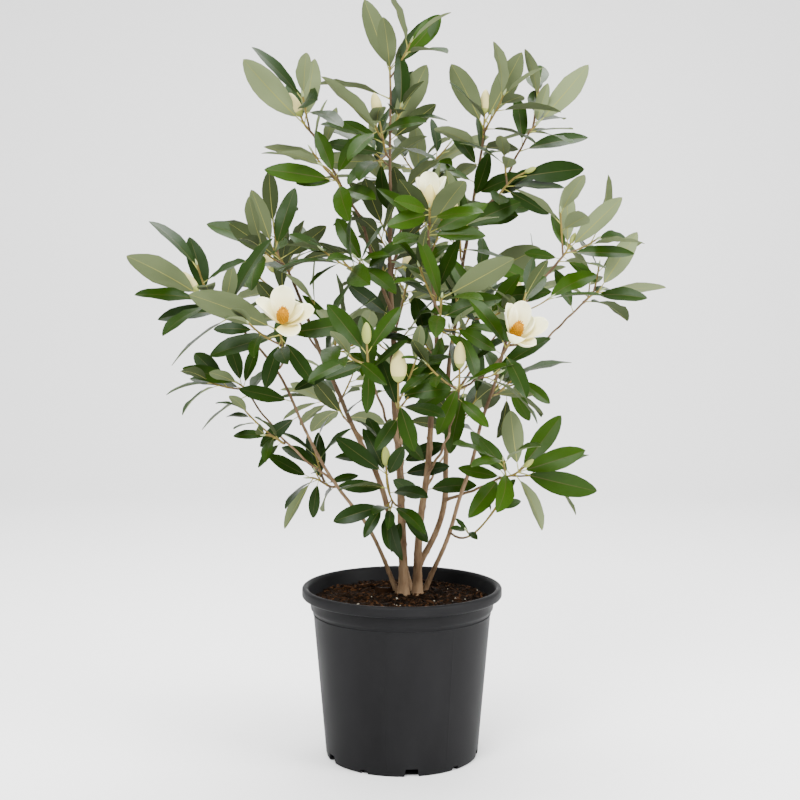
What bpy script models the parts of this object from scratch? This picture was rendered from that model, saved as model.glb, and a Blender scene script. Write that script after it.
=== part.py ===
"""A young magnolia with several stems, growing in a black nursery pot.

The pot, the soil, every stem, every bough and every mass of leaves is a solid of its own. Metres,
+Z up. The origin is the centre of the pot's flat underside, and the plant's front faces -Y.
"""

import math
from collections import namedtuple

import bpy
import numpy as np
from mathutils.bvhtree import BVHTree

# Gap between touching pieces, the wider one beside a limb, and the one round a leaf or a shoot.
GAP = 0.0003
SIDE_GAP = 0.0008
CLEARANCE = 0.0009

# Curves: points worked out along each span, and how far a swept curve runs on before it bends.
SPAN_SAMPLES = 24
SWEEP_SAMPLES = 40
SWEEP_PULL = 0.35
SMOOTH_ANGLE = math.radians(35)

# Pot: a turned shell with a rolled rim, a collar, a tapering body and ten drain notches.
POT_HEIGHT = 0.305
RIM_RADIUS = 0.178
RIM_WIDTH = 0.012
RIM_DEPTH = 0.019
COLLAR_RADIUS = 0.1635
COLLAR_FOOT = 0.2665
BODY_RADIUS = 0.158
BODY_TOP = 0.259
BASE_RADIUS = 0.1358
BASE_ROUND = 0.004
WALL = 0.003
POT_SIDES = 36
NOTCH_FIRST = math.radians(-83)
LARGE_NOTCH = (0.025, 0.014)
SMALL_NOTCH = (0.015, 0.007)
NOTCH_PAIRS = 5

# Soil: it fills the pot to a little under the rim.
SOIL_TOP = 0.285
SOIL_EDGE_DROP = 0.003
SOIL_EDGE_WIDTH = 0.014

# Limbs: name, carrier, height of the fork on it, points that it runs through (x, y, z), and the
# radius at its foot and at its tip in millimetres. A limb with no carrier stands on the soil, and
# its first point is then its foot (x, y).
LIMBS = (
    ("stem_leader", None, None, ((0.004, 0.018), (-0.001, 0.026, 0.44), (-0.014, 0.034, 0.67),
                                 (-0.021, 0.02, 0.93), (-0.02, 0.008, 1.16)), (8.4, 1.9)),
    ("stem_left", None, None, ((0.014, 0.052), (-0.024, 0.062, 0.43), (-0.051, 0.07, 0.502),
                               (-0.124, 0.08, 0.66), (-0.195, 0.055, 0.845)), (6.4, 2.6)),
    ("stem_low_left", None, None, ((-0.01, 0.046), (-0.053, 0.005, 0.397), (-0.11, -0.045, 0.485),
                                   (-0.165, -0.11, 0.595), (-0.205, -0.15, 0.695),
                                   (-0.28, -0.175, 0.788)), (3.8, 1.9)),
    ("stem_centre", None, None, ((0.0275, 0.018), (0.03, 0.014, 0.38), (0.046, 0.0, 0.534),
                                 (0.059, -0.03, 0.747), (0.045, -0.07, 0.916)), (7.8, 2.4)),
    ("stem_right", None, None, ((0.041, 0.046), (0.08, 0.01, 0.386), (0.116, -0.025, 0.511),
                                (0.16, -0.06, 0.677), (0.203, -0.045, 0.795),
                                (0.273, 0.0, 0.879)), (4.2, 2.2)),
    ("bough_right_leader", "stem_centre", 0.335, ((0.06, 0.026, 0.394), (0.078, 0.045, 0.458),
                                                  (0.081, 0.065, 0.555), (0.089, 0.09, 0.712),
                                                  (0.118, 0.1, 0.919), (0.143, 0.082, 1.079)),
     (5.8, 2.3)),
    ("bough_top_left", "stem_leader", 0.79, ((-0.044, -0.002, 0.863), (-0.068, -0.02, 0.942),
                                             (-0.105, -0.03, 1.01), (-0.149, -0.03, 1.091)),
     (3.3, 1.9)),
    ("bough_top_right", "bough_right_leader", 0.93, ((0.178, 0.08, 1.017), (0.226, 0.062, 1.108)),
     (2.7, 1.8)),
    ("bough_low_left", "stem_low_left", 0.5, ((-0.175, -0.08, 0.548), (-0.228, -0.11, 0.612),
                                              (-0.257, -0.115, 0.655)), (2.1, 1.6)),
    ("bough_low_right", "bough_right_leader", 0.45, ((0.133, 0.0, 0.478), (0.166, -0.045, 0.502)),
     (3.0, 2.0)),
    ("bough_far_right", "stem_right", 0.735, ((0.243, -0.02, 0.741), (0.284, 0.01, 0.773),
                                              (0.32, 0.025, 0.806)), (2.2, 1.7)),
    ("bough_front_left", "stem_leader", 0.55, ((-0.03, -0.09, 0.62), (-0.05, -0.19, 0.69)),
     (2.8, 1.9)),
    ("bough_front", "stem_leader", 0.475, ((0.0, -0.08, 0.545), (-0.006, -0.18, 0.625)),
     (2.6, 1.8)),
    ("bough_front_right", "stem_centre", 0.5, ((0.075, -0.07, 0.57), (0.092, -0.15, 0.65)),
     (2.6, 1.8)),
    ("bough_right_flower", "bough_right_leader", 0.64, ((0.115, -0.05, 0.668), (0.145, -0.15, 0.7),
                                                        (0.165, -0.195, 0.73)), (2.4, 1.7)),
    ("bough_back_low_left", "stem_left", 0.46, ((-0.06, 0.16, 0.53), (-0.11, 0.24, 0.58)),
     (2.8, 1.8)),
    ("bough_back_low_right", "stem_centre", 0.42, ((0.05, 0.1, 0.475), (0.1, 0.2, 0.545)),
     (2.8, 1.8)),
    ("bough_back_left", "stem_left", 0.62, ((-0.16, 0.16, 0.72), (-0.22, 0.22, 0.8)), (2.8, 1.8)),
    ("bough_back_right", "bough_right_leader", 0.6, ((0.13, 0.17, 0.68), (0.19, 0.25, 0.75)),
     (2.8, 1.8)),
    ("bough_back", "stem_leader", 0.62, ((-0.02, 0.14, 0.7), (0.0, 0.25, 0.8)), (2.8, 1.8)),
    ("bough_back_upper", "stem_leader", 0.85, ((0.0, 0.1, 0.94), (0.03, 0.19, 1.02)), (2.6, 1.8)),
)
STEM_SIDES = 8
BOUGH_SIDES = 6
STEM_STATIONS = 11
BOUGH_STATIONS = 8
TAPER_POWER = 0.85
FLARE = 0.35
FLARE_HEIGHT = 0.03
WANDER = 0.0016
WANDER_WAVES = (2.5, 4.5)

# Masses of foliage: name, limb, height of the side on which it grows (None is the limb's tip), end
# of its stem (x, y, z), heading of that end (degrees round from +X seen from above, degrees up),
# side shoots, leaves on the stem, longest leaf, bloom, and the turn of its first leaf in degrees.
Mass = namedtuple("Mass", "name limb height end heading shoots leaves length bloom turn")
MASSES = (
    ("leaves_top", "stem_leader", None, (-0.021, 0.0, 1.215), (90, 85), 1, 8, 0.145, "small_bud", 200),
    ("leaves_top_left", "stem_leader", 1.06, (-0.037, -0.05, 1.11), (240, 68), 1, 6, 0.12, "bud", 150),
    ("leaves_left_top", "bough_top_left", None, (-0.168, -0.035, 1.115), (180, 64), 1, 6, 0.135, "bud", 190),
    ("leaves_left_top_low", "bough_top_left", 1.0, (-0.134, -0.09, 1.04), (195, 25), 1, 6, 0.115, None, 20),
    ("leaves_right_top", "bough_right_leader", None, (0.147, 0.08, 1.13), (60, 84), 1, 7, 0.13, "bud", 190),
    ("leaves_right_upper", "bough_top_right", None, (0.238, 0.06, 1.12), (5, 55), 1, 6, 0.12, None, 20),
    ("leaves_right_upper_low", "bough_top_right", 0.99, (0.205, 0.03, 1.03), (350, 25), 1, 6, 0.115,
     "small_bud", 60),
    ("leaves_upper_centre", "stem_centre", None, (0.047, -0.09, 0.955), (262, 76), 1, 7, 0.125,
     "half_open", 150),
    ("leaves_far_left", "stem_low_left", None, (-0.325, -0.18, 0.82), (165, 48), 1, 6, 0.135, "bud", 200),
    ("leaves_left_flower", "stem_low_left", 0.7, (-0.195, -0.22, 0.775), (285, 22), 1, 6, 0.1, "open", 100),
    ("leaves_left_mid", "stem_left", None, (-0.231, 0.04, 0.905), (165, 55), 2, 6, 0.13, None, 140),
    ("leaves_left_low", "bough_low_left", None, (-0.275, -0.115, 0.674), (175, 30), 1, 7, 0.11, None, 80),
    ("leaves_left_low_inner", "bough_low_left", 0.575, (-0.228, -0.16, 0.592), (215, 0), 1, 5, 0.075,
     None, 30),
    ("leaves_lower_left", "stem_low_left", 0.49, (-0.16, -0.05, 0.505), (190, -5), 1, 5, 0.1, None, 200),
    ("leaves_front_low", "stem_leader", 0.445, (-0.027, -0.09, 0.52), (265, 75), 2, 5, 0.11,
     "green_bud", 160),
    ("leaves_front_centre", "bough_front", None, (-0.006, -0.22, 0.672), (270, 86), 1, 6, 0.1,
     "large_bud", 300),
    ("leaves_centre_right", "bough_front_right", None, (0.094, -0.18, 0.692), (275, 84), 1, 6, 0.1,
     "bud", 80),
    ("leaves_centre", "bough_front_left", None, (-0.056, -0.24, 0.735), (260, 82), 1, 6, 0.105,
     "green_bud", 120),
    ("leaves_right_flower", "bough_right_flower", None, (0.175, -0.22, 0.752), (285, 25), 1, 6, 0.1, "open",
     320),
    ("leaves_right", "stem_right", None, (0.289, 0.0, 0.9), (20, 62), 2, 6, 0.13, "small_bud", 90),
    ("leaves_far_right", "bough_far_right", None, (0.35, 0.03, 0.828), (5, 22), 1, 5, 0.13, None, 20),
    ("leaves_right_mid", "stem_right", 0.65, (0.2, -0.03, 0.677), (330, 12), 1, 6, 0.1, None, 330),
    ("leaves_lower_right", "bough_low_right", None, (0.2, -0.08, 0.52), (345, 40), 2, 6, 0.135,
     "small_bud", 60),
    ("leaves_low_right", "stem_right", 0.4, (0.17, -0.1, 0.475), (330, 55), 0, 4, 0.055, None, 100),
    ("leaves_inner_left", "stem_left", 0.7, (-0.12, 0.02, 0.76), (250, 60), 2, 5, 0.11, None, 210),
    ("leaves_inner_top_left", "bough_top_left", 0.87, (-0.1, -0.08, 0.88), (200, 50), 2, 5, 0.115, None, 40),
    ("leaves_inner_top", "stem_leader", 0.88, (0.005, 0.07, 0.95), (60, 65), 2, 5, 0.115, None, 70),
    ("leaves_inner_right", "bough_right_leader", 0.74, (0.136, -0.01, 0.815), (320, 50), 2, 5, 0.11,
     None, 10),
    ("leaves_inner_top_right", "bough_right_leader", 0.88, (0.095, -0.01, 0.95), (230, 65), 1, 6, 0.115,
     "bud", 30),
    ("leaves_inner_centre", "stem_centre", 0.76, (0.066, -0.14, 0.82), (280, 65), 2, 5, 0.11, None, 200),
    ("leaves_back_low_left", "bough_back_low_left", None, (-0.13, 0.27, 0.62), (120, 45), 2, 6, 0.115,
     None, 60),
    ("leaves_back_low_right", "bough_back_low_right", None, (0.12, 0.24, 0.59), (60, 45), 2, 6, 0.115,
     None, 10),
    ("leaves_back_left", "bough_back_left", None, (-0.24, 0.25, 0.85), (135, 55), 2, 6, 0.125, "bud", 90),
    ("leaves_back_right", "bough_back_right", None, (0.21, 0.28, 0.8), (50, 55), 2, 6, 0.125, "bud", 20),
    ("leaves_back", "bough_back", None, (0.01, 0.29, 0.85), (90, 60), 2, 6, 0.125, "bud", 0),
    ("leaves_back_top", "stem_leader", 1.0, (-0.045, 0.13, 1.08), (120, 60), 1, 6, 0.115, None, 130),
    ("leaves_back_upper", "bough_back_upper", None, (0.04, 0.22, 1.07), (80, 65), 2, 6, 0.125, None, 50),
)

# Crown outline: the widest that a leaf's tip may stand from the axis at each height.
CROWN_HEIGHTS = (0.35, 0.5, 0.82, 1.0, 1.2, 1.325)
CROWN_RADII = (0.22, 0.38, 0.475, 0.46, 0.37, 0.1)

# Twigs: a mass has one stem, and shoots that leave it between two shares of its length.
SPIRAL = math.radians(137.5)
TWIG_STATIONS = 4
TWIG_FOOT = 0.0022
TWIG_TIP = 0.0016
TWIG_SIDES = 3
SHOOT_SPAN = (0.3, 0.8)
SHOOT_FIRST_TURN = 2.0
SHOOT_SPIRAL = 1.3 * SPIRAL
SHOOT_LENGTH = 0.075
SHOOT_SCALE = 0.85
SHOOT_ANGLE = math.radians(48)
SHOOT_LIFT = 0.45
SHOOT_LEAVES = 4
SHOOT_LEAF_TURN = 1.0

# Leaves: a spiral round the twig, closer and steeper towards its tip. Each size is the share of the
# mass's longest leaf, from the tip's leaf down.
LEAF_SIZES = (0.8, 0.95, 1.0, 1.0, 0.97)
LEAF_SHRINK = 0.025
LEAF_FIRST = 0.004
LEAF_SPACING = 0.0075
LEAF_SPREAD = 0.12
LEAF_STEEPEST = math.radians(17)
LEAF_OPENING = math.radians(8.5)
LEAF_FLATTEST = math.radians(72)
LEAF_SAG = 0.045
LEAF_LIGHT = 0.9
LEAF_BEND = math.radians(30)
LEAF_HALF_WIDTH = 0.168
LEAF_FOLD = math.tan(math.radians(17))
LEAF_THICKNESS = 0.014
LEAF_STATIONS = (0.36, 0.7)

# Turns that a leaf or a shoot tries in degrees, and the share of a leaf that may lie among its own
# mass's twigs but not among those of another.
TRIES = (0, 24, -24, 50, -50, 80)
BLADE_FOOT = 0.16

# Blooms: length and half-width of each kind of bud, length and opening angle of each flower's
# petals, and a bud's outline as shares of its length and half-width.
BUDS = {"small_bud": (0.022, 0.005), "green_bud": (0.036, 0.0078), "bud": (0.045, 0.0098),
        "large_bud": (0.054, 0.0135)}
BUD_SHAPE = ((0.0, 0.45), (0.35, 1.0), (0.7, 0.82), (1.0, 0.06))
BUD_SIDES = 6
BLOOM_STALK = 0.016
BLOOM_SINK = 0.004
FLOWER_PETALS = 6
FLOWERS = {"open": (0.05, 68), "half_open": (0.055, 24)}
PETAL_NOTCH = 0.62
PETAL_THICKNESS = 0.0016
FLOWER_FOOT = 0.003
BOSS_RADIUS = 0.0075
BOSS_HEIGHT = 0.024
BOSS_SHOULDER = 0.55
BOSS_THROAT = 0.8

MATERIALS = {
    "pot": ((0.03, 0.031, 0.033), 0.42),
    "soil": ((0.045, 0.026, 0.015), 0.95),
    "bark": ((0.3, 0.21, 0.14), 0.85),
    "foliage": ((0.09, 0.2, 0.045), 0.45),
}


# Small vector helpers

def unit(vector):
    return np.asarray(vector, float) / np.linalg.norm(vector)


def heading_vector(around, up):
    """The unit vector that points round by one angle and up by the other, in degrees."""
    around = math.radians(around)
    up = math.radians(up)
    return np.array([math.cos(around) * math.cos(up), math.sin(around) * math.cos(up), math.sin(up)])


def across(axis, turn):
    """The unit vector square to an axis, turned round it from +X (from +Y where it runs along X)."""
    base = np.array([1.0, 0.0, 0.0]) if abs(axis[0]) < 0.9 else np.array([0.0, 1.0, 0.0])
    first = unit(base - axis * base.dot(axis))
    second = np.cross(axis, first)
    return first * math.cos(turn) + second * math.sin(turn)


def smooth_path(points, count):
    """Evenly spaced points along the Catmull-Rom curve through the given ones."""
    points = np.asarray(points, float)
    ends = np.vstack([2 * points[0] - points[1], points, 2 * points[-1] - points[-2]])
    share = np.linspace(0, 1, SPAN_SAMPLES, endpoint=False)[:, None]
    spans = []
    for a, b, c, d in zip(ends[:-3], ends[1:-2], ends[2:-1], ends[3:]):
        bend = (2 * a - 5 * b + 4 * c - d) * share**2 + (3 * b - a - 3 * c + d) * share**3
        spans.append(0.5 * (2 * b + (c - a) * share + bend))
    return evenly(np.vstack(spans + [points[-1:]]), count)


def swept_path(start, leaving, end, arriving, count):
    """Evenly spaced points along a cubic curve with a direction given at each end."""
    pull = SWEEP_PULL * np.linalg.norm(end - start)
    share = np.linspace(0, 1, SWEEP_SAMPLES)[:, None]
    rest = 1 - share
    curve = rest**3 * start + 3 * rest**2 * share * (start + leaving * pull)
    curve += 3 * rest * share**2 * (end - arriving * pull) + share**3 * end
    return evenly(curve, count)


def evenly(curve, count):
    steps = np.linalg.norm(np.diff(curve, axis=0), axis=1)
    along = np.concatenate([[0], np.cumsum(steps)])
    places = np.linspace(0, along[-1], count)
    return np.stack([np.interp(places, along, curve[:, k]) for k in range(3)], axis=1)


def directions(path):
    return np.array([unit(row) for row in np.gradient(path, axis=0)])


def point_along(path, share):
    """The point and the direction at a share of a path's length."""
    place = share * (len(path) - 1)
    index = np.arange(len(path))
    point = np.array([np.interp(place, index, path[:, k]) for k in range(3)])
    heading = directions(path)
    return point, unit([np.interp(place, index, heading[:, k]) for k in range(3)])


def share_at_height(path, height):
    return float(np.interp(height, path[:, 2], np.linspace(0, 1, len(path))))


# Solids as plain arrays of vertices and faces

def outward(vertices, faces):
    """The same solid with its faces turned to point out."""
    volume = 0.0
    for face in faces:
        first = vertices[face[0]]
        for second, third in zip(face[1:-1], face[2:]):
            volume += first.dot(np.cross(vertices[second], vertices[third]))
    if volume < 0:
        faces = [tuple(reversed(face)) for face in faces]
    return vertices, faces


def tube(path, radii, sides, foot_way=None):
    """A ring of points carried along a path without twist, with a flat cap at each end.

    The first cap is square to foot_way where that is given.
    """
    heading = directions(path)
    if foot_way is not None:
        heading[0] = foot_way
    side = across(heading[0], 0.0)
    angles = np.linspace(0, 2 * math.pi, sides, endpoint=False)
    rings = []
    for point, ahead, radius in zip(path, heading, radii):
        side = unit(side - ahead * side.dot(ahead))
        other = np.cross(ahead, side)
        rings.append(point + radius * (np.outer(np.cos(angles), side) + np.outer(np.sin(angles), other)))
    faces = []
    for ring in range(len(path) - 1):
        for k in range(sides):
            a = ring * sides + k
            b = ring * sides + (k + 1) % sides
            faces.append((a, b, b + sides, a + sides))
    last = (len(path) - 1) * sides
    faces.append(tuple(range(sides))[::-1])
    faces.append(tuple(range(last, last + sides)))
    return outward(np.vstack(rings), faces)


def turned(profile, sides):
    """A profile (radius, height) that starts and ends on the axis, turned round it."""
    profile = np.asarray(profile, float)
    angles = np.linspace(0, 2 * math.pi, sides, endpoint=False)
    rings = []
    for radius, height in profile[1:-1]:
        level = np.full(sides, height)
        rings.append(np.stack([radius * np.cos(angles), radius * np.sin(angles), level], axis=1))
    first = len(rings) * sides
    vertices = np.vstack(rings + [[(0, 0, profile[0][1])], [(0, 0, profile[-1][1])]])
    faces = []
    for k in range(sides):
        n = (k + 1) % sides
        faces.append((first, n, k))
        faces.append((first + 1, first - sides + k, first - sides + n))
        for ring in range(len(rings) - 1):
            low = ring * sides
            faces.append((low + k, low + n, low + sides + n, low + sides + k))
    return outward(vertices, faces)


def blade(root, ahead, face, length):
    """A leaf: a flat-topped boat with ten faces, whose midrib is an arc that bends down.

    Its edge runs from the root through two widest places to the tip, lifted above the midrib by
    the leaf's fold, and one keel point stands below it.
    """
    side = np.cross(ahead, face) * LEAF_HALF_WIDTH * length
    lift = face * LEAF_HALF_WIDTH * length * LEAF_FOLD
    low, high = (rib_point(root, ahead, face, length, share) for share in LEAF_STATIONS)
    keel = rib_point(root, ahead, face, length, sum(LEAF_STATIONS) / 2) - face * LEAF_THICKNESS * length
    tip = rib_point(root, ahead, face, length, 1.0)
    corners = [root, low + lift - side, high + lift - side, tip, high + lift + side, low + lift + side]
    faces = [(0, 1, 5), (1, 2, 4, 5), (2, 3, 4)]
    faces += [(k, 6, (k + 1) % 6) for k in range(6)]
    return outward(np.array(corners + [keel]), faces)


def rib_point(root, ahead, face, length, share):
    """The point at a share of the length of a midrib that bends away from the leaf's upper face."""
    turned_by = LEAF_BEND * share
    return root + length * (ahead * math.sin(turned_by) - face * (1 - math.cos(turned_by))) / LEAF_BEND


# Room in the crown

class Room:
    """What already stands in the crown, each thing as a ball round it and a tree of its faces."""

    def __init__(self):
        self.centres = []
        self.reaches = []
        self.trees = []
        self.owners = []

    def add(self, solid, owner):
        vertices, faces = solid
        centre = vertices.mean(axis=0)
        self.centres.append(centre)
        self.reaches.append(np.linalg.norm(vertices - centre, axis=1).max())
        self.trees.append(BVHTree.FromPolygons(vertices.tolist(), faces))
        self.owners.append(owner)

    def touches(self, solid, skip=()):
        """Whether a solid crosses anything here that isn't owned by a name in skip."""
        vertices, faces = solid
        centre = vertices.mean(axis=0)
        reach = np.linalg.norm(vertices - centre, axis=1).max()
        apart = np.linalg.norm(np.array(self.centres) - centre, axis=1)
        near = np.nonzero(apart < reach + np.array(self.reaches))[0]
        tree = BVHTree.FromPolygons(vertices.tolist(), faces)
        return any(self.owners[k] not in skip and tree.overlap(self.trees[k]) for k in near)


def in_crown(point):
    widest = np.interp(point[2], CROWN_HEIGHTS, CROWN_RADII)
    return CROWN_HEIGHTS[0] < point[2] < CROWN_HEIGHTS[-1] and math.hypot(point[0], point[1]) < widest


def padded(solid):
    """The solid, a little larger about its middle, which leaves a clear gap once it is placed."""
    vertices, faces = solid
    away = vertices - vertices.mean(axis=0)
    return vertices + away / np.linalg.norm(away, axis=1)[:, None] * CLEARANCE, faces


# Limbs

def grow_limbs():
    """The path and the radii of every limb, by name."""
    limbs = {}
    for number, (name, carrier, height, points, (foot, tip)) in enumerate(LIMBS):
        stands = carrier is None
        if stands:
            points = ((*points[0], SOIL_TOP + GAP),) + points[1:]
        else:
            carrier_path = limbs[carrier][0]
            points = (point_along(carrier_path, share_at_height(carrier_path, height))[0],) + points
        path = smooth_path(points, STEM_STATIONS if stands else BOUGH_STATIONS)
        draw = np.random.default_rng(number)
        share = np.linspace(0, 1, len(path))
        for axis in range(2):
            waves = draw.uniform(*WANDER_WAVES)
            phase = draw.uniform(0, 2 * math.pi)
            path[:, axis] += WANDER * np.sin(math.pi * share) * np.sin(waves * 2 * math.pi * share + phase)
        radii = (foot + (tip - foot) * share**TAPER_POWER) / 1000
        if stands:
            radii *= 1 + FLARE * np.exp((SOIL_TOP - path[:, 2]) / FLARE_HEIGHT)
        limbs[name] = (path, radii)
    return limbs


def limb_solid(name, limbs, grown=0.0):
    path, radii = limbs[name]
    stands = name.startswith("stem")
    if stands:
        return tube(path, radii + grown, STEM_SIDES, foot_way=(0, 0, 1))
    return tube(path, radii + grown, BOUGH_SIDES)


# Twigs, leaves and blooms

def stem_of(mass, limbs):
    """The path of a mass's own stem, clear of its limb, and the way in which it leaves that limb."""
    path, radii = limbs[mass.limb]
    end = np.array(mass.end)
    if mass.height is None:
        leaving = directions(path)[-1]
        start = path[-1] + leaving * GAP
    else:
        share = share_at_height(path, mass.height)
        middle, along = point_along(path, share)
        leaving = end - middle
        leaving = unit(leaving - along * leaving.dot(along))
        start = middle + leaving * (np.interp(share, np.linspace(0, 1, len(path)), radii) + SIDE_GAP)
    return swept_path(start, leaving, end, heading_vector(*mass.heading), TWIG_STATIONS + 1), leaving


def shoot_path(stem, share, turn, length):
    """A side shoot that leaves a stem at a slant and bends up towards the light."""
    start, along = point_along(stem, share)
    leaving = along * math.cos(SHOOT_ANGLE) + across(along, turn) * math.sin(SHOOT_ANGLE)
    arriving = unit(leaving + np.array([0, 0, SHOOT_LIFT]))
    end = start + unit(leaving + arriving) * length
    return swept_path(start, leaving, end, arriving, TWIG_STATIONS)


def leaf_frame(path, back, turn, angle, sag, roll):
    """Root, direction and upper face of a leaf that grows some way back from a twig's tip."""
    length = np.linalg.norm(np.diff(path, axis=0), axis=1).sum()
    root, along = point_along(path, max(0.0, 1 - back / length))
    out = across(along, turn)
    ahead = unit(along * math.cos(angle) + out * math.sin(angle) - np.array([0, 0, sag]))
    face = along + LEAF_LIGHT * np.array([0, 0, 1.0])
    face = unit(face - ahead * face.dot(ahead))
    face = face * math.cos(roll) + np.cross(ahead, face) * math.sin(roll)
    return root, ahead, face


def leaves_on(path, count, longest, turn, draw):
    """For each leaf of a twig, from its tip down: how far back, turn, angle, sag, roll and length."""
    for k in range(count):
        back = LEAF_FIRST + LEAF_SPACING * k * (1 + LEAF_SPREAD * k)
        angle = min(LEAF_STEEPEST + LEAF_OPENING * k + draw.normal(0, 0.1), LEAF_FLATTEST)
        share = LEAF_SIZES[min(k, len(LEAF_SIZES) - 1)] * (1 - LEAF_SHRINK * k)
        size = longest * share * draw.uniform(0.88, 1.06)
        yield back, turn + k * SPIRAL + draw.normal(0, 0.12), angle, LEAF_SAG * k, draw.normal(0, 0.16), size


def bud_solid(kind, foot, axis):
    length, half_width = BUDS[kind]
    shape = np.array(BUD_SHAPE)
    return tube(foot + np.outer(shape[:, 0] * length, axis), shape[:, 1] * half_width, BUD_SIDES)


def flower_solid(kind, foot, axis, turn):
    """A bowl of petals with the boss standing in it, as one skin of rings round the flower's axis.

    Each petal gives its tip and half of the notch on either side, so every ring has two points a
    petal, and only the rim goes in and out. The faces on both sides of the rim are split from the
    petals' tips, so that the inside of the bowl follows its outside.
    """
    length, angle = FLOWERS[kind]
    out, up = math.sin(math.radians(angle)), math.cos(math.radians(angle))
    sides = 2 * FLOWER_PETALS
    full = np.ones(sides)
    reach = np.where(np.arange(sides) % 2 == 0, 1.0, PETAL_NOTCH) * length
    waist = length * min(0.45, 0.45 * out + 0.135)
    waist_height = length * max(0.4 * up, 0.1)
    throat = BOSS_RADIUS * BOSS_THROAT
    floor = np.interp(throat, (FLOWER_FOOT, waist), (0.0, waist_height)) + 2 * PETAL_THICKNESS
    rings = (
        (full * FLOWER_FOOT, full * 0.0),
        (full * waist, full * waist_height),
        (reach * out, reach * up),
        (full * (waist - PETAL_THICKNESS), full * (waist_height + PETAL_THICKNESS)),
        (full * throat, full * floor),
        (full * BOSS_RADIUS, full * BOSS_HEIGHT * BOSS_SHOULDER),
    )
    turns = turn + np.arange(sides) * 2 * math.pi / sides
    first = across(axis, 0.0)
    ways = np.outer(np.cos(turns), first) + np.outer(np.sin(turns), np.cross(axis, first))
    points = [foot + ways * radius[:, None] + np.outer(height, axis) for radius, height in rings]
    vertices = np.vstack(points + [[foot - axis * PETAL_THICKNESS], [foot + axis * BOSS_HEIGHT]])
    last = len(rings) * sides
    faces = []
    for k in range(sides):
        n = (k + 1) % sides
        faces.append((last, n, k))
        faces.append((last + 1, last - sides + k, last - sides + n))
        for ring in range(len(rings) - 1):
            low = ring * sides
            corners = (low + k, low + n, low + sides + n, low + sides + k)
            if ring not in (1, 2):
                faces.append(corners)
                continue
            first_corner = (k + ring) % 2
            around = corners[first_corner:] + corners[:first_corner]
            faces.append(around[:3])
            faces.append((around[0],) + around[2:])
    return outward(vertices, faces)


def grow_twigs(mass, number, limbs, room):
    """The twigs of one mass: its stem and the side shoots that find room. Its bloom comes first."""
    draw = np.random.default_rng(100 + number)
    first_turn = math.radians(mass.turn)
    stem, leaving = stem_of(mass, limbs)
    stalk = stem
    solids = []
    if mass.bloom:
        axis = heading_vector(*mass.heading)
        tip = stem[-1] + axis * BLOOM_STALK
        foot = tip - axis * BLOOM_SINK
        if mass.bloom in BUDS:
            solids.append(bud_solid(mass.bloom, foot, axis))
        else:
            solids.append(flower_solid(mass.bloom, foot, axis, first_turn))
        stalk = np.vstack([stem, tip])
    solids.append(tube(stalk, np.linspace(TWIG_FOOT, TWIG_TIP, len(stalk)), TWIG_SIDES, foot_way=leaving))
    for solid in solids:
        room.add(solid, mass.name)
    twigs = [(stem, mass.leaves, mass.length, first_turn)]
    for k in range(mass.shoots):
        step = (k + draw.uniform(0.2, 0.8)) / mass.shoots
        share = SHOOT_SPAN[0] + (SHOOT_SPAN[1] - SHOOT_SPAN[0]) * step
        reach = SHOOT_LENGTH * draw.uniform(0.8, 1.2)
        turn = first_turn + SHOOT_FIRST_TURN + k * SHOOT_SPIRAL
        for change in TRIES:
            path = shoot_path(stem, share, turn + math.radians(change), reach)
            solid = tube(path, np.linspace(TWIG_FOOT, TWIG_TIP, len(path)) * SHOOT_SCALE, TWIG_SIDES)
            if in_crown(path[-1]) and not room.touches(padded(solid), skip=(mass.name,)):
                room.add(solid, mass.name)
                solids.append(solid)
                count = min(SHOOT_LEAVES, mass.leaves)
                twigs.append((path, count, mass.length * SHOOT_SCALE, turn + SHOOT_LEAF_TURN))
                break
    return twigs, solids


def grow_leaves(name, number, twigs, room):
    """The leaves of one mass that find room. A leaf that touches turns round its twig or is left out."""
    draw = np.random.default_rng(500 + number)
    solids = []
    for path, count, longest, turn in twigs:
        for back, around, angle, sag, roll, size in leaves_on(path, count, longest, turn, draw):
            for change in TRIES:
                root, ahead, face = leaf_frame(path, back, around + math.radians(change), angle, sag, roll)
                leaf = blade(root, ahead, face, size)
                clear_root = root + ahead * size * BLADE_FOOT
                clear_blade = blade(clear_root, ahead, face, size * (1 - BLADE_FOOT))
                if not in_crown(leaf[0][-1]) or room.touches(padded(clear_blade)):
                    continue
                if room.touches(padded(leaf), skip=(name,)):
                    continue
                room.add(leaf, name)
                solids.append(leaf)
                break
    return solids


# Blender objects

def material(name):
    colour, roughness = MATERIALS[name]
    made = bpy.data.materials.get(name) or bpy.data.materials.new(name)
    made.use_nodes = True
    shader = made.node_tree.nodes["Principled BSDF"]
    shader.inputs["Base Color"].default_value = (*colour, 1)
    shader.inputs["Roughness"].default_value = roughness
    shader.inputs["Metallic"].default_value = 0.0
    return made


def add_object(name, solid, material_name, place=(0, 0, 0), collection=None):
    """An object with its origin at a place, made from a solid in world coordinates."""
    vertices, faces = solid
    mesh = bpy.data.meshes.new(name)
    mesh.from_pydata((vertices - np.array(place)).tolist(), [], faces)
    mesh.materials.append(material(material_name))
    added = bpy.data.objects.new(name, mesh)
    added.location = place
    (collection or bpy.context.scene.collection).objects.link(added)
    return added


def hang(child, carrier):
    """Parents an object to the one that carries it, where it stands."""
    bpy.context.view_layer.update()
    child.parent = carrier
    child.matrix_parent_inverse = carrier.matrix_world.inverted()


def shade_round(target):
    target.data.shade_smooth()
    target.data.set_sharp_from_angle(angle=SMOOTH_ANGLE)


def as_guide(guide):
    guide.hide_render = True
    guide.display_type = "WIRE"


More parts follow.
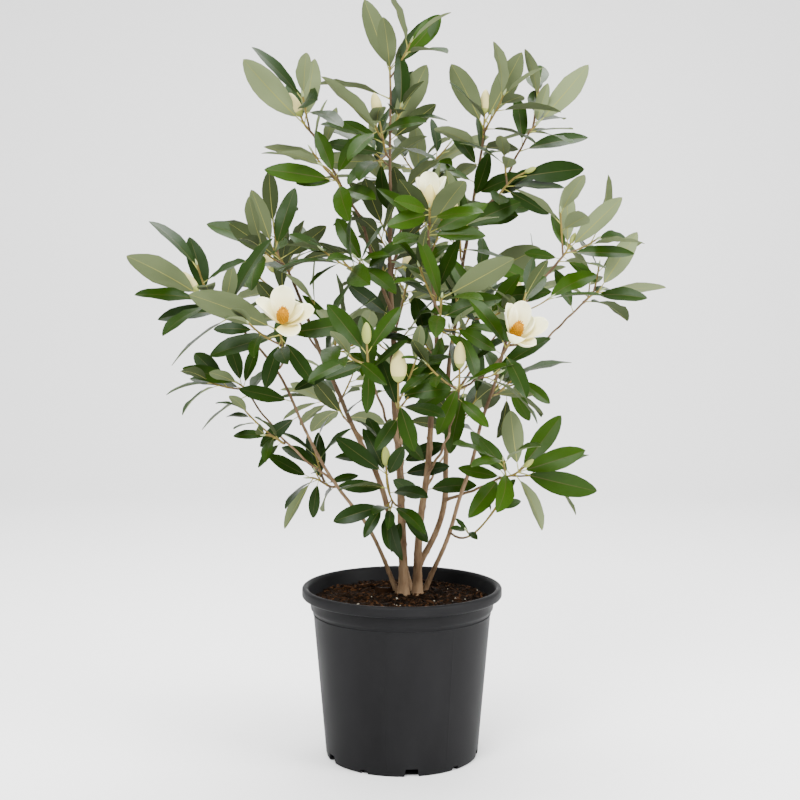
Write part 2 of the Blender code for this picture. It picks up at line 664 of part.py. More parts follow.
def applied(target):
    """Writes a target's evaluated mesh into it, in place of its modifiers."""
    bpy.context.view_layer.update()
    graph = bpy.context.evaluated_depsgraph_get()
    mesh = bpy.data.meshes.new_from_object(target.evaluated_get(graph))
    target.modifiers.clear()
    target.data = mesh


def keep_main_body(target):
    """Drops any loose scrap, and the wall of any cavity that the union sealed."""
    mesh = target.data
    links = np.arange(len(mesh.vertices))
    edges = np.array([edge.vertices[:] for edge in mesh.edges])
    while True:
        low = np.minimum(links[edges[:, 0]], links[edges[:, 1]])
        before = links.copy()
        np.minimum.at(links, edges[:, 0], low)
        np.minimum.at(links, edges[:, 1], low)
        if (before == links).all():
            break
    points = np.array([vertex.co[:] for vertex in mesh.vertices])
    sizes = {body: np.ptp(points[links == body], axis=0).max() for body in np.unique(links)}
    main = max(sizes, key=sizes.get)
    if len(sizes) > 1:
        kept = [poly.vertices[:] for poly in mesh.polygons if links[poly.vertices[0]] == main]
        places = np.nonzero(links == main)[0]
        order = np.zeros(len(points), int)
        order[places] = np.arange(len(places))
        whole = bpy.data.meshes.new(target.name)
        whole.from_pydata(points[places].tolist(), [], [tuple(int(order[v]) for v in face) for face in kept])
        for made in mesh.materials:
            whole.materials.append(made)
        target.data = whole


def fused(name, solids, material_name, place):
    """One object that is the union of overlapping solids, joined through one collection."""
    parts = bpy.data.collections.new(name + ".parts")
    bpy.context.scene.collection.children.link(parts)
    for solid in solids[1:]:
        add_object("piece", solid, material_name, place, parts)
    target = add_object(name, solids[0], material_name, place)
    union = target.modifiers.new("union", "BOOLEAN")
    union.operation = "UNION"
    union.operand_type = "COLLECTION"
    union.collection = parts
    applied(target)
    for piece in list(parts.objects):
        bpy.data.objects.remove(piece, do_unlink=True)
    bpy.data.collections.remove(parts)
    keep_main_body(target)
    return target


def cut(target, cutters):
    for cutter in cutters:
        as_guide(cutter)
        modifier = target.modifiers.new("cut", "BOOLEAN")
        modifier.operation = "DIFFERENCE"
        modifier.object = cutter
    applied(target)
    for cutter in cutters:
        bpy.data.objects.remove(cutter, do_unlink=True)


# The plant's parts

def inner_radius(height):
    """The radius of the pot's inner wall, a wall's thickness inside the outer one."""
    outer = np.interp(height, (0, BODY_TOP, COLLAR_FOOT, POT_HEIGHT),
                      (BASE_RADIUS, BODY_RADIUS, COLLAR_RADIUS - 0.001, COLLAR_RADIUS + 0.001))
    return outer - WALL


def make_pot():
    lip = POT_HEIGHT - RIM_DEPTH
    outer = [(0, 0), (BASE_RADIUS - BASE_ROUND, 0), (BASE_RADIUS, BASE_ROUND), (BODY_RADIUS, BODY_TOP),
             (COLLAR_RADIUS - 0.001, COLLAR_FOOT), (COLLAR_RADIUS, lip)]
    rim = [(RIM_RADIUS - 0.005, lip), (RIM_RADIUS - 0.001, lip + 0.003), (RIM_RADIUS, lip + 0.008),
           (RIM_RADIUS - 0.001, POT_HEIGHT - 0.003), (RIM_RADIUS - 0.005, POT_HEIGHT),
           (RIM_RADIUS - 0.009, POT_HEIGHT - 0.001), (RIM_RADIUS - RIM_WIDTH, POT_HEIGHT - 0.006)]
    inner = [(inner_radius(height), height) for height in (lip - 0.004, COLLAR_FOOT, BODY_TOP, WALL)]
    pot = add_object("pot", turned(outer + rim + inner + [(0, WALL)], POT_SIDES), "pot")
    cutters = []
    for k in range(2 * NOTCH_PAIRS):
        width, height = SMALL_NOTCH if k % 2 else LARGE_NOTCH
        angle = NOTCH_FIRST + k * math.pi / NOTCH_PAIRS
        outward_way = np.array([math.cos(angle), math.sin(angle), 0])
        sideways = np.array([-math.sin(angle), math.cos(angle), 0])
        corners = []
        for reach in (BASE_RADIUS - 0.014, BASE_RADIUS + 0.02):
            for level, half in ((-0.005, width * 0.54), (height, width * 0.42)):
                for side in (-half, half):
                    corners.append(outward_way * reach + sideways * side + np.array([0, 0, level]))
        faces = [(0, 1, 3, 2), (4, 6, 7, 5), (0, 4, 5, 1), (2, 3, 7, 6), (0, 2, 6, 4), (1, 5, 7, 3)]
        cutters.append(add_object("notch_cutter", outward(np.array(corners), faces), "pot"))
    cut(pot, cutters)
    shade_round(pot)
    return pot


def make_soil(pot):
    floor = WALL + GAP
    heights = (floor, BODY_TOP, COLLAR_FOOT, SOIL_TOP - SOIL_EDGE_DROP)
    side = [(inner_radius(height) - GAP / math.cos(math.pi / POT_SIDES), height) for height in heights]
    top = [(side[-1][0] - SOIL_EDGE_WIDTH, SOIL_TOP), (0, SOIL_TOP)]
    soil = add_object("soil", turned([(0, floor)] + side + top, POT_SIDES), "soil")
    shade_round(soil)
    hang(soil, pot)
    return soil


def make_limbs(limbs, room, soil):
    """Every limb as an object with its origin at its foot, carried by another limb or by the soil."""
    made = {}
    for name, carrier, *_ in LIMBS:
        limb = add_object(name, limb_solid(name, limbs), "bark", limbs[name][0][0])
        if carrier:
            cut(limb, [add_object("carrier_cutter", limb_solid(carrier, limbs, GAP), "bark")])
            keep_main_body(limb)
        shade_round(limb)
        hang(limb, made.get(carrier, soil))
        made[name] = limb
        room.add(limb_solid(name, limbs), name)
    return made


def make_foliage(limbs, room, made):
    """All twigs first, then the leaves in the room that is left, one object a mass."""
    masses = [Mass(*row) for row in MASSES]
    grown = [grow_twigs(mass, number, limbs, room) for number, mass in enumerate(masses)]
    for number, (mass, (twigs, solids)) in enumerate(zip(masses, grown)):
        leaves = grow_leaves(mass.name, number, twigs, room)
        foliage = fused(mass.name, solids[::-1] + leaves, "foliage", twigs[0][0][0])
        hang(foliage, made[mass.limb])


def main():
    for old in list(bpy.data.objects):
        bpy.data.objects.remove(old, do_unlink=True)
    pot = make_pot()
    soil = make_soil(pot)
    limbs = grow_limbs()
    room = Room()
    made = make_limbs(limbs, room, soil)
    make_foliage(limbs, room, made)


if __name__ == "__main__":
    main()
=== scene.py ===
"""The looks of a young magnolia in a black nursery pot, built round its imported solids.

The limbs, twigs and leaves grow here by the rule that made the solids, with the same seeds, and are
carried on to finer stems, leaf stalks, leaf buds and leafy spurs. Metres, +Z up, the origin at the
centre of the pot's flat underside, and the plant's front faces -Y.
"""

import functools
import math
from collections import namedtuple

import bpy
import numpy as np
from bpy.props import FloatProperty, FloatVectorProperty, IntProperty, PointerProperty
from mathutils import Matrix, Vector
from mathutils.bvhtree import BVHTree


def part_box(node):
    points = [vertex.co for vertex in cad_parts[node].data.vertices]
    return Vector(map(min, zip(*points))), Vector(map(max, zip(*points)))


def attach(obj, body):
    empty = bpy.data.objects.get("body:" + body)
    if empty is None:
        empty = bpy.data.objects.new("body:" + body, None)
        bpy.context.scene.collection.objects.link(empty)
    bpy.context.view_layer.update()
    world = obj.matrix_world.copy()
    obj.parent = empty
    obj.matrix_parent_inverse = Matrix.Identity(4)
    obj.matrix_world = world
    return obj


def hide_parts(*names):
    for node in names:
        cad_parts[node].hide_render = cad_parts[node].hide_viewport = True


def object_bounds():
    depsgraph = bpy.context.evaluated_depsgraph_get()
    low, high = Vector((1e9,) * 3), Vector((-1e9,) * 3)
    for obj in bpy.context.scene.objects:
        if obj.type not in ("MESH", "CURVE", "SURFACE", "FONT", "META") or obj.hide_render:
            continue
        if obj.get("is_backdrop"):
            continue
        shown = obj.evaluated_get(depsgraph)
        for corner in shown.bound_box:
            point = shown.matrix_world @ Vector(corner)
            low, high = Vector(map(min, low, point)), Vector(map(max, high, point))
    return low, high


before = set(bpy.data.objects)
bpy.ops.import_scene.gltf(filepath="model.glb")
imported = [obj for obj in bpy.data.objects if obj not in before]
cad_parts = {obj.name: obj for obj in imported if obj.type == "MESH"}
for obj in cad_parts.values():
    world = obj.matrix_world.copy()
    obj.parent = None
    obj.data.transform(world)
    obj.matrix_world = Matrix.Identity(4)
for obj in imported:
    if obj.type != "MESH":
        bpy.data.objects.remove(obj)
CAD_LOW, CAD_HIGH = (tuple(corner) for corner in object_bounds())

bl_info = {
    "name": "Potted Magnolia",
    "version": (1, 0, 0),
    "blender": (4, 5, 0),
    "location": "View3D > Sidebar > Magnolia",
    "description": "A young flowering magnolia in a nursery pot, dressed round its solids",
    "category": "Add Mesh",
}

POT_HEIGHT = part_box("pot")[1][2]
SOIL_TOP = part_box("soil")[1][2]
FOLIAGE_NODES = [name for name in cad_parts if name.startswith("leaves")]

# Gap between touching solids, the wider one beside a limb, and the one round a leaf or a shoot.
GAP = 0.0003
SIDE_GAP = 0.0008
CLEARANCE = 0.0009

# Curves: points worked out along each span, and how far a swept curve runs on before it bends.
SPAN_SAMPLES = 24
SWEEP_SAMPLES = 40
SWEEP_PULL = 0.35

# Seeds of what is drawn at random. Each mass adds its number to its seeds.
TWIG_SEED, FOLIAGE_SEED, SPUR_SEED, LEAF_SEED = 100, 500, 901, 77
SOIL_SEED, CHIP_SEED, BUD_SEED, BLOOM_SEED = 7, 21, 33, 55

# Pot: radii and heights of its profile, steps round it, and width and height of its drain notches.
RIM_RADIUS = 0.178
RIM_DEPTH = 0.019
COLLAR_RADIUS = 0.1635
COLLAR_FOOT = 0.2665
BODY_RADIUS = 0.158
BODY_TOP = 0.259
BASE_RADIUS = 0.1358
WALL = 0.003
POT_STEPS = 192
NOTCH_FIRST = math.radians(-83)
NOTCH_PAIRS = 5
NOTCHES = ((0.025, 0.014), (0.015, 0.007))
MOULD_LINES = (math.radians(-101), math.radians(-56), math.radians(79), math.radians(124))
MOULD_STEPS = (-0.012, -0.006, 0.0, 0.006, 0.012)
POT_SHARP = 38

# Soil: the bed's radius, rows and steps, the length and height of its waves, and the flakes on it:
# ranges of their length, width and height, their tilt, and the tints that they are dealt.
SOIL_RADIUS = 0.1585
SOIL_ROWS = 64
SOIL_STEPS = 160
SOIL_WAVES = ((0.09, 0.0012), (0.045, 0.001), (0.022, 0.0008), (0.011, 0.0006))
CHIPS = ((0.0035, 0.013), (0.0018, 0.0048), (0.0008, 0.0022), 0.28, (0, 0, 0, 1, 1, 3, 3, 2, 4))
FLECKS = ((0.0015, 0.0034), (0.0014, 0.003), (0.0012, 0.0026), 0.5, (5,))
SLABS = ((0.012, 0.024), (0.004, 0.009), (0.002, 0.005), 0.3, (0, 1, 3, 2))
SLAB_COUNT = 90
FIBRE_COUNT = 240
BOX_SIGNS = np.array([(x, y, z) for z in (-1, 1) for y in (-1, 1) for x in (-1, 1)], float)
BOX_FACES = np.array([(0, 2, 3, 1), (4, 5, 7, 6), (0, 1, 5, 4), (2, 6, 7, 3), (0, 4, 6, 2), (1, 3, 7, 5)])
NOTCH_FACES = np.array([(2, 3, 1, 0), (5, 7, 6, 4), (1, 5, 4, 0), (6, 7, 3, 2), (4, 6, 2, 0), (3, 7, 5, 1)])

# Limbs: name, carrier, height of the fork on it, points that it runs through (x, y, z), and the
# radius at its foot and at its tip, all in millimetres. A limb with no carrier stands on the soil,
# and its first point is then its foot (x, y).
LIMBS = (
    ("stem_leader", None, None,
     ((4, 18), (-1, 26, 440), (-14, 34, 670), (-21, 20, 930), (-20, 8, 1160)), (8.4, 1.9)),
    ("stem_left", None, None,
     ((14, 52), (-24, 62, 430), (-51, 70, 502), (-124, 80, 660), (-195, 55, 845)), (6.4, 2.6)),
    ("stem_low_left", None, None,
     ((-10, 46), (-53, 5, 397), (-110, -45, 485), (-165, -110, 595), (-205, -150, 695),
      (-280, -175, 788)), (3.8, 1.9)),
    ("stem_centre", None, None,
     ((27.5, 18), (30, 14, 380), (46, 0, 534), (59, -30, 747), (45, -70, 916)), (7.8, 2.4)),
    ("stem_right", None, None,
     ((41, 46), (80, 10, 386), (116, -25, 511), (160, -60, 677), (203, -45, 795), (273, 0, 879)),
     (4.2, 2.2)),
    ("bough_right_leader", "stem_centre", 335,
     ((60, 26, 394), (78, 45, 458), (81, 65, 555), (89, 90, 712), (118, 100, 919), (143, 82, 1079)),
     (5.8, 2.3)),
    ("bough_top_left", "stem_leader", 790,
     ((-44, -2, 863), (-68, -20, 942), (-105, -30, 1010), (-149, -30, 1091)), (3.3, 1.9)),
    ("bough_top_right", "bough_right_leader", 930, ((178, 80, 1017), (226, 62, 1108)), (2.7, 1.8)),
    ("bough_low_left", "stem_low_left", 500,
     ((-175, -80, 548), (-228, -110, 612), (-257, -115, 655)), (2.1, 1.6)),
    ("bough_low_right", "bough_right_leader", 450, ((133, 0, 478), (166, -45, 502)), (3.0, 2.0)),
    ("bough_far_right", "stem_right", 735, ((243, -20, 741), (284, 10, 773), (320, 25, 806)), (2.2, 1.7)),
    ("bough_front_left", "stem_leader", 550, ((-30, -90, 620), (-50, -190, 690)), (2.8, 1.9)),
    ("bough_front", "stem_leader", 475, ((0, -80, 545), (-6, -180, 625)), (2.6, 1.8)),
    ("bough_front_right", "stem_centre", 500, ((75, -70, 570), (92, -150, 650)), (2.6, 1.8)),
    ("bough_right_flower", "bough_right_leader", 640,
     ((115, -50, 668), (145, -150, 700), (165, -195, 730)), (2.4, 1.7)),
    ("bough_back_low_left", "stem_left", 460, ((-60, 160, 530), (-110, 240, 580)), (2.8, 1.8)),
    ("bough_back_low_right", "stem_centre", 420, ((50, 100, 475), (100, 200, 545)), (2.8, 1.8)),
    ("bough_back_left", "stem_left", 620, ((-160, 160, 720), (-220, 220, 800)), (2.8, 1.8)),
    ("bough_back_right", "bough_right_leader", 600, ((130, 170, 680), (190, 250, 750)), (2.8, 1.8)),
    ("bough_back", "stem_leader", 620, ((-20, 140, 700), (0, 250, 800)), (2.8, 1.8)),
    ("bough_back_upper", "stem_leader", 850, ((0, 100, 940), (30, 190, 1020)), (2.6, 1.8)),
)
STEM_SIDES = 8
BOUGH_SIDES = 6
STEM_STATIONS = 11
BOUGH_STATIONS = 8
TAPER_POWER = 0.85
FLARE = 0.35
FLARE_HEIGHT = 0.03
WANDER = 0.0016
WANDER_WAVES = (2.5, 4.5)

# Bark: the step along a fine limb, its sides, how far a stem runs down into the soil, the waves round
# its ridges, and the height above which it darkens.
FINE_STEP = 0.004
BARK_SIDES = {"stem": 20, "bough": 14}
BURIED = (0.012, 0.008, 0.004)
RIDGES = (2, 3, 5, 7)
BARK_CHANGE = 0.62

# Masses of foliage: name, limb, height of the side on which it grows (None is the limb's tip), end
# of its stem (x, y, z), heading of that end (degrees round from +X seen from above, degrees up),
# side shoots, leaves on the stem, longest leaf, bloom, and the turn of its first leaf in degrees.
# Lengths are in millimetres.
Mass = namedtuple("Mass", "name limb height end heading shoots leaves length bloom turn")
MASSES = (
    ("top", "stem_leader", None, (-21, 0, 1215), (90, 85), 1, 8, 145, "small_bud", 200),
    ("top_left", "stem_leader", 1060, (-37, -50, 1110), (240, 68), 1, 6, 120, "bud", 150),
    ("left_top", "bough_top_left", None, (-168, -35, 1115), (180, 64), 1, 6, 135, "bud", 190),
    ("left_top_low", "bough_top_left", 1000, (-134, -90, 1040), (195, 25), 1, 6, 115, None, 20),
    ("right_top", "bough_right_leader", None, (147, 80, 1130), (60, 84), 1, 7, 130, "bud", 190),
    ("right_upper", "bough_top_right", None, (238, 60, 1120), (5, 55), 1, 6, 120, None, 20),
    ("right_upper_low", "bough_top_right", 990, (205, 30, 1030), (350, 25), 1, 6, 115, "small_bud", 60),
    ("upper_centre", "stem_centre", None, (47, -90, 955), (262, 76), 1, 7, 125, "half_open", 150),
    ("far_left", "stem_low_left", None, (-325, -180, 820), (165, 48), 1, 6, 135, "bud", 200),
    ("left_flower", "stem_low_left", 700, (-195, -220, 775), (285, 22), 1, 6, 100, "open", 100),
    ("left_mid", "stem_left", None, (-231, 40, 905), (165, 55), 2, 6, 130, None, 140),
    ("left_low", "bough_low_left", None, (-275, -115, 674), (175, 30), 1, 7, 110, None, 80),
    ("left_low_inner", "bough_low_left", 575, (-228, -160, 592), (215, 0), 1, 5, 75, None, 30),
    ("lower_left", "stem_low_left", 490, (-160, -50, 505), (190, -5), 1, 5, 100, None, 200),
    ("front_low", "stem_leader", 445, (-27, -90, 520), (265, 75), 2, 5, 110, "green_bud", 160),
    ("front_centre", "bough_front", None, (-6, -220, 672), (270, 86), 1, 6, 100, "large_bud", 300),
    ("centre_right", "bough_front_right", None, (94, -180, 692), (275, 84), 1, 6, 100, "bud", 80),
    ("centre", "bough_front_left", None, (-56, -240, 735), (260, 82), 1, 6, 105, "green_bud", 120),
    ("right_flower", "bough_right_flower", None, (175, -220, 752), (285, 25), 1, 6, 100, "open", 320),
    ("right", "stem_right", None, (289, 0, 900), (20, 62), 2, 6, 130, "small_bud", 90),
    ("far_right", "bough_far_right", None, (350, 30, 828), (5, 22), 1, 5, 130, None, 20),
    ("right_mid", "stem_right", 650, (200, -30, 677), (330, 12), 1, 6, 100, None, 330),
    ("lower_right", "bough_low_right", None, (200, -80, 520), (345, 40), 2, 6, 135, "small_bud", 60),
    ("low_right", "stem_right", 400, (170, -100, 475), (330, 55), 0, 4, 55, None, 100),
    ("inner_left", "stem_left", 700, (-120, 20, 760), (250, 60), 2, 5, 110, None, 210),
    ("inner_top_left", "bough_top_left", 870, (-100, -80, 880), (200, 50), 2, 5, 115, None, 40),
    ("inner_top", "stem_leader", 880, (5, 70, 950), (60, 65), 2, 5, 115, None, 70),
    ("inner_right", "bough_right_leader", 740, (136, -10, 815), (320, 50), 2, 5, 110, None, 10),
    ("inner_top_right", "bough_right_leader", 880, (95, -10, 950), (230, 65), 1, 6, 115, "bud", 30),
    ("inner_centre", "stem_centre", 760, (66, -140, 820), (280, 65), 2, 5, 110, None, 200),
    ("back_low_left", "bough_back_low_left", None, (-130, 270, 620), (120, 45), 2, 6, 115, None, 60),
    ("back_low_right", "bough_back_low_right", None, (120, 240, 590), (60, 45), 2, 6, 115, None, 10),
    ("back_left", "bough_back_left", None, (-240, 250, 850), (135, 55), 2, 6, 125, "bud", 90),
    ("back_right", "bough_back_right", None, (210, 280, 800), (50, 55), 2, 6, 125, "bud", 20),
    ("back", "bough_back", None, (10, 290, 850), (90, 60), 2, 6, 125, "bud", 0),
    ("back_top", "stem_leader", 1000, (-45, 130, 1080), (120, 60), 1, 6, 115, None, 130),
    ("back_upper", "bough_back_upper", None, (40, 220, 1070), (80, 65), 2, 6, 125, None, 50),
)

# Crown outline: the widest that a leaf's tip may stand from the axis at each height.
CROWN_HEIGHTS = (0.35, 0.5, 0.82, 1.0, 1.2, 1.325)
CROWN_RADII = (0.22, 0.38, 0.475, 0.46, 0.37, 0.1)

# Twigs: a mass has one stem, and shoots that leave it between two shares of its length.
SPIRAL = math.radians(137.5)
TWIG_STATIONS = 4
FINE_TWIG_STATIONS = 14
TWIG_FOOT = 0.0022
TWIG_TIP = 0.0016
TWIG_SIDES = 3
SHOOT_SPAN = (0.3, 0.8)
SHOOT_FIRST_TURN = 2.0
SHOOT_SPIRAL = 1.3 * SPIRAL
SHOOT_LENGTH = 0.075
SHOOT_SCALE = 0.85
SHOOT_ANGLE = math.radians(48)
SHOOT_LIFT = 0.45
SHOOT_LEAVES = 4
SHOOT_LEAF_TURN = 1.0

# Leaves: a spiral round the twig, closer and steeper towards its tip. Each size is the share of the
# mass's longest leaf, from the tip's leaf down.
LEAF_SIZES = (0.8, 0.95, 1.0, 1.0, 0.97)
LEAF_SHRINK = 0.025
LEAF_FIRST = 0.004
LEAF_SPACING = 0.0075
LEAF_SPREAD = 0.12
LEAF_STEEPEST = math.radians(17)
LEAF_OPENING = math.radians(8.5)
LEAF_FLATTEST = math.radians(72)
LEAF_SAG = 0.045
LEAF_LIGHT = 0.9
LEAF_BEND = math.radians(30)
LEAF_HALF_WIDTH = 0.168
LEAF_FOLD = math.tan(math.radians(17))
LEAF_THICKNESS = 0.014
LEAF_STATIONS = (0.36, 0.7)
LEAF_FACES = [(0, 1, 5), (1, 2, 4, 5), (2, 3, 4)] + [(k, 6, (k + 1) % 6) for k in range(6)]

# Turns that a leaf or a shoot tries in degrees, more for a fine leaf and a leading one, and the share
# of a leaf that may lie among its own mass's twigs but not among those of another.
TRIES = (0, 24, -24, 50, -50, 80)
WIDE_TRIES = (0, 24, -24, 50, -50, 80, -80, 115, -115, 150)
LEADING_TRIES = (0, 10, -10, 20, -20, 32, -32)
BLADE_FOOT = 0.16

# Blooms: length and half-width of each kind of bud, length and opening angle of each flower's
# petals, and a bud's outline as shares of its length and half-width.
BUDS = {"small_bud": (0.022, 0.005), "green_bud": (0.036, 0.0078), "bud": (0.045, 0.0098),
        "large_bud": (0.054, 0.0135)}
PALE_BUDS = ("bud", "large_bud")
BUD_SHAPE = np.array(((0.0, 0.45), (0.35, 1.0), (0.7, 0.82), (1.0, 0.06)))
BUD_SIDES = 6
BLOOM_STALK = 0.016
BLOOM_SINK = 0.004
FLOWER_PETALS = 6
FLOWERS = {"open": (0.05, 68), "half_open": (0.055, 24)}
PETAL_NOTCH = 0.62
PETAL_THICKNESS = 0.0016
FLOWER_FOOT = 0.003
BOSS_RADIUS = 0.0075
BOSS_HEIGHT = 0.024
BOSS_SHOULDER = 0.55
BOSS_THROAT = 0.8

# Leafy spurs, which only the looks have: one on each mass's stem, and more along the limbs, which
# have sprays of their own, numbered from LIMB_SPRAYS.
LIMB_SPRAYS = 40
SPUR_LOWEST = 0.62
SPUR_RADIUS = 0.21
SPUR_LEAVES = 4
SPUR_ANGLE = math.radians(55)
SPUR_SCALE = 0.75
SPUR_SPACING = 0.075
SPUR_TURN = 1.7

# Lanes from front to back that the rule's leaves stay out of, where the sky shows through the crown:
# how far across, how high, and the radius. Leaves stay out of the balls before a bloom too: their
# number, their radius as a share of its length, and the length that counts for a flower.
SKY_LANES = ((-0.155, 0.955, 0.036), (-0.112, 0.672, 0.03), (0.222, 0.79, 0.034), (0.193, 0.43, 0.028),
             (0.108, 1.13, 0.024), (-0.083, 1.137, 0.028), (-0.188, 1.09, 0.03), (-0.31, 0.885, 0.024),
             (0.251, 1.004, 0.018), (0.234, 0.672, 0.02), (-0.155, 0.75, 0.02))
BUD_CLEARING = (3, 0.35)
FLOWER_CLEARING = (5, 0.48)
CLEARING_STEP = 0.02
FLOWER_LENGTH = 0.055

# Fine leaves: the stalk's share of a leaf, the size that a rib's and a stalk's thickness are given
# for, stations along the blade, and the outline's powers.
PETIOLE = 0.14
USUAL_LEAF = 0.12
BLADE_STATIONS = np.array((0.0, 0.04, 0.12, 0.23, 0.36, 0.5, 0.64, 0.78, 0.89, 0.965, 1.0))
BLADE_BASE_POWER = 0.85
BLADE_TIP_POWER = 0.78
BLADE_THICKNESS = 0.0009
BLADE_EDGE = 0.0005
RIB_WIDTH = 0.0007
FINE_HALF_WIDTH = 0.148
LEADING_LIMP = 0.5

# Stretch of a leaf of each length in the solids, which keeps short ones and lengthens long ones.
STRETCHED_SIZES = (0.075, 0.125)
STRETCHES = (0.98, 1.24)

# Low leaves hang over more, the flat ones most: the height below which they start to, over what
# height, how much, and the rise of a leaf that doesn't.
DROOP_BELOW = 0.95
DROOP_SPAN = 0.35
DROOP = 0.5
DROOP_STEEPEST = 0.8

# Roll of a leaf about its own direction: how far it faces out from the plant, and how much it varies.
FACE_OUT = 0.4
ROLL_SPREAD = 0.3

# Tints: how far each one lies from the darkest colour of its face to the lightest, and the height
# above which the undersides are painted a step paler: painted light where the upper crown is lit more.
TOP_TINTS = (0.0, 0.2, 0.4, 0.65, 1.0)
UNDER_TINTS = (0.0, 0.5, 1.0)
PAINTED_LIGHT_ABOVE = 0.98

# Leading leaves, which stand out in the plant's outline, after the name of what carries them: the
# place there (how far back from the tip of a mass's stem, or the height on a limb), the lean to the
# right from upright and towards the front in degrees, how far the upper face is turned from the front
# over the top, and the length. Lengths are in millimetres. Earlier ones find room before later ones.
LEADING_LEAVES = (
    ("top", (14, -3, 28, 176, 105), (10, -19, 0, 162, 130), (6, 44, 5, 20, 126), (3, 37, -8, 140, 106)),
    ("stem_leader", (1105, 33, 10, 168, 132), (1120, 14, -12, 30, 106), (1090, 52, 8, 160, 104)),
    ("top_left", (22, -42, 14, 118, 146), (34, -62, 12, 30, 80)),
    ("left_top", (4, -47, 4, 172, 152), (2, 9, 10, 186, 112), (0, -18, -26, 12, 92)),
    ("bough_top_left", (1052, -76, 6, 128, 112), (1068, 18, 10, 150, 80)),
    ("left_top_low", (40, -78, 12, 12, 124), (30, -17, 14, 18, 82), (34, 26, 10, 30, 86),
     (40, -93, 16, 42, 70)),
    ("left_mid", (2, -16, 10, 180, 110), (10, 15, 2, 20, 120), (30, -50, 14, 168, 116),
     (8, -63, -6, 40, 132), (26, 60, 12, 160, 108)),
    ("far_left", (2, -54, 4, 170, 146), (4, -7, -8, 12, 106), (8, -75, 12, 60, 122),
     (40, 16, 12, 178, 80), (46, -84, 10, 50, 112)),
    ("left_flower", (16, -61, 14, 150, 165), (20, 84, 8, 12, 118), (30, 142, 14, 12, 94),
     (34, -158, 14, 10, 84), (24, -102, 4, 40, 122)),
    ("left_low", (2, -67, 8, 22, 100), (0, -54, 24, 150, 78), (14, -77, 10, 60, 102),
     (6, -14, -8, 22, 84), (10, 16, 4, 30, 76)),
    ("lower_left", (2, -61, 12, 30, 86), (6, -143, 10, 130, 102), (16, -166, 12, 12, 68),
     (18, 4, 6, 20, 84), (30, 70, 6, 40, 62)),
    ("front_low", (4, -53, 14, 12, 108), (8, -22, 2, 24, 92), (34, -82, 14, 16, 86), (10, 24, 10, 12, 80)),
    ("stem_leader", (420, -154, 22, 14, 68), (435, 130, 20, 12, 80)),
    ("front_centre", (12, 75, 10, 22, 88), (18, 163, 16, 10, 88)),
    ("centre_right", (12, -159, 14, 6, 94)),
    ("centre", (6, -36, 10, 20, 104), (4, 32, 8, 22, 92), (24, -108, 14, 32, 74), (20, 176, 14, 8, 82)),
    ("upper_centre", (26, -23, 16, 150, 124), (30, 29, 16, 150, 136), (20, -51, 0, 22, 112),
     (32, 65, 10, 12, 112), (36, 86, 14, 28, 98)),
    ("right_top", (14, -25, 8, 168, 130), (6, 28, 10, 188, 142), (2, 33, -16, 20, 112)),
    ("bough_top_right", (1085, -3, -4, 20, 94)),
    ("right_upper", (2, 14, 6, 168, 78), (0, 43, 4, 190, 142)),
    ("bough_top_right", (1075, 71, 10, 46, 124)),
    ("right_upper_low", (6, 80, 6, 12, 122), (30, 88, 14, 62, 104)),
    ("right", (0, 0, 8, 180, 112), (2, 45, 8, 172, 134), (4, -20, 4, 20, 76), (6, 88, 6, 48, 122),
     (14, 125, 16, 30, 74), (20, -76, 12, 40, 66)),
    ("far_right", (2, 34, 6, 180, 124), (10, 80, -4, 112, 130), (16, 84, 12, 34, 102)),
    ("lower_right", (0, -10, 8, 180, 116), (2, 40, 6, 18, 124), (4, 70, 10, 30, 124),
     (2, 104, 10, 6, 142), (8, 142, 10, 130, 108), (30, -35, 10, 22, 102), (34, -79, 12, 22, 82),
     (16, -40, 20, 16, 92)),
    ("right_mid", (2, 120, 12, 30, 74), (18, 150, 14, 12, 76)),
    ("inner_centre", (2, 62, 12, 168, 140)),
    ("inner_right", (4, 80, 10, 32, 128), (14, -30, 14, 20, 96)),
    ("bough_right_leader", (1020, -62, 12, 60, 96), (1000, 62, 14, 20, 100), (1045, -30, 14, 20, 92),
     (975, 86, 10, 30, 116), (955, 80, 26, 30, 112), (990, 20, 16, 14, 92)),
    ("stem_centre", (520, -40, 22, 16, 84), (455, -40, 26, 20, 96)),
    ("stem_leader", (500, 75, 26, 18, 92)),
    ("stem_low_left", (620, -120, 14, 24, 86), (645, -72, 14, 30, 92)),
    ("stem_leader", (520, 62, 24, 18, 90), (780, -50, 24, 20, 104)),
    ("inner_top_right", (8, -14, 14, 170, 96), (18, 62, 12, 15, 118)),
    ("right_upper_low", (36, 118, 14, 24, 92)),
    ("stem_right", (840, -66, 16, 24, 98)),
    ("bough_far_right", (790, -20, 12, 24, 84)),
    ("stem_centre", (475, 75, 18, 20, 92)),
    ("stem_low_left", (660, 60, 12, 30, 84)),
    ("stem_right", (720, -58, 14, 20, 90)),
)
LED_SHARE = 1.3
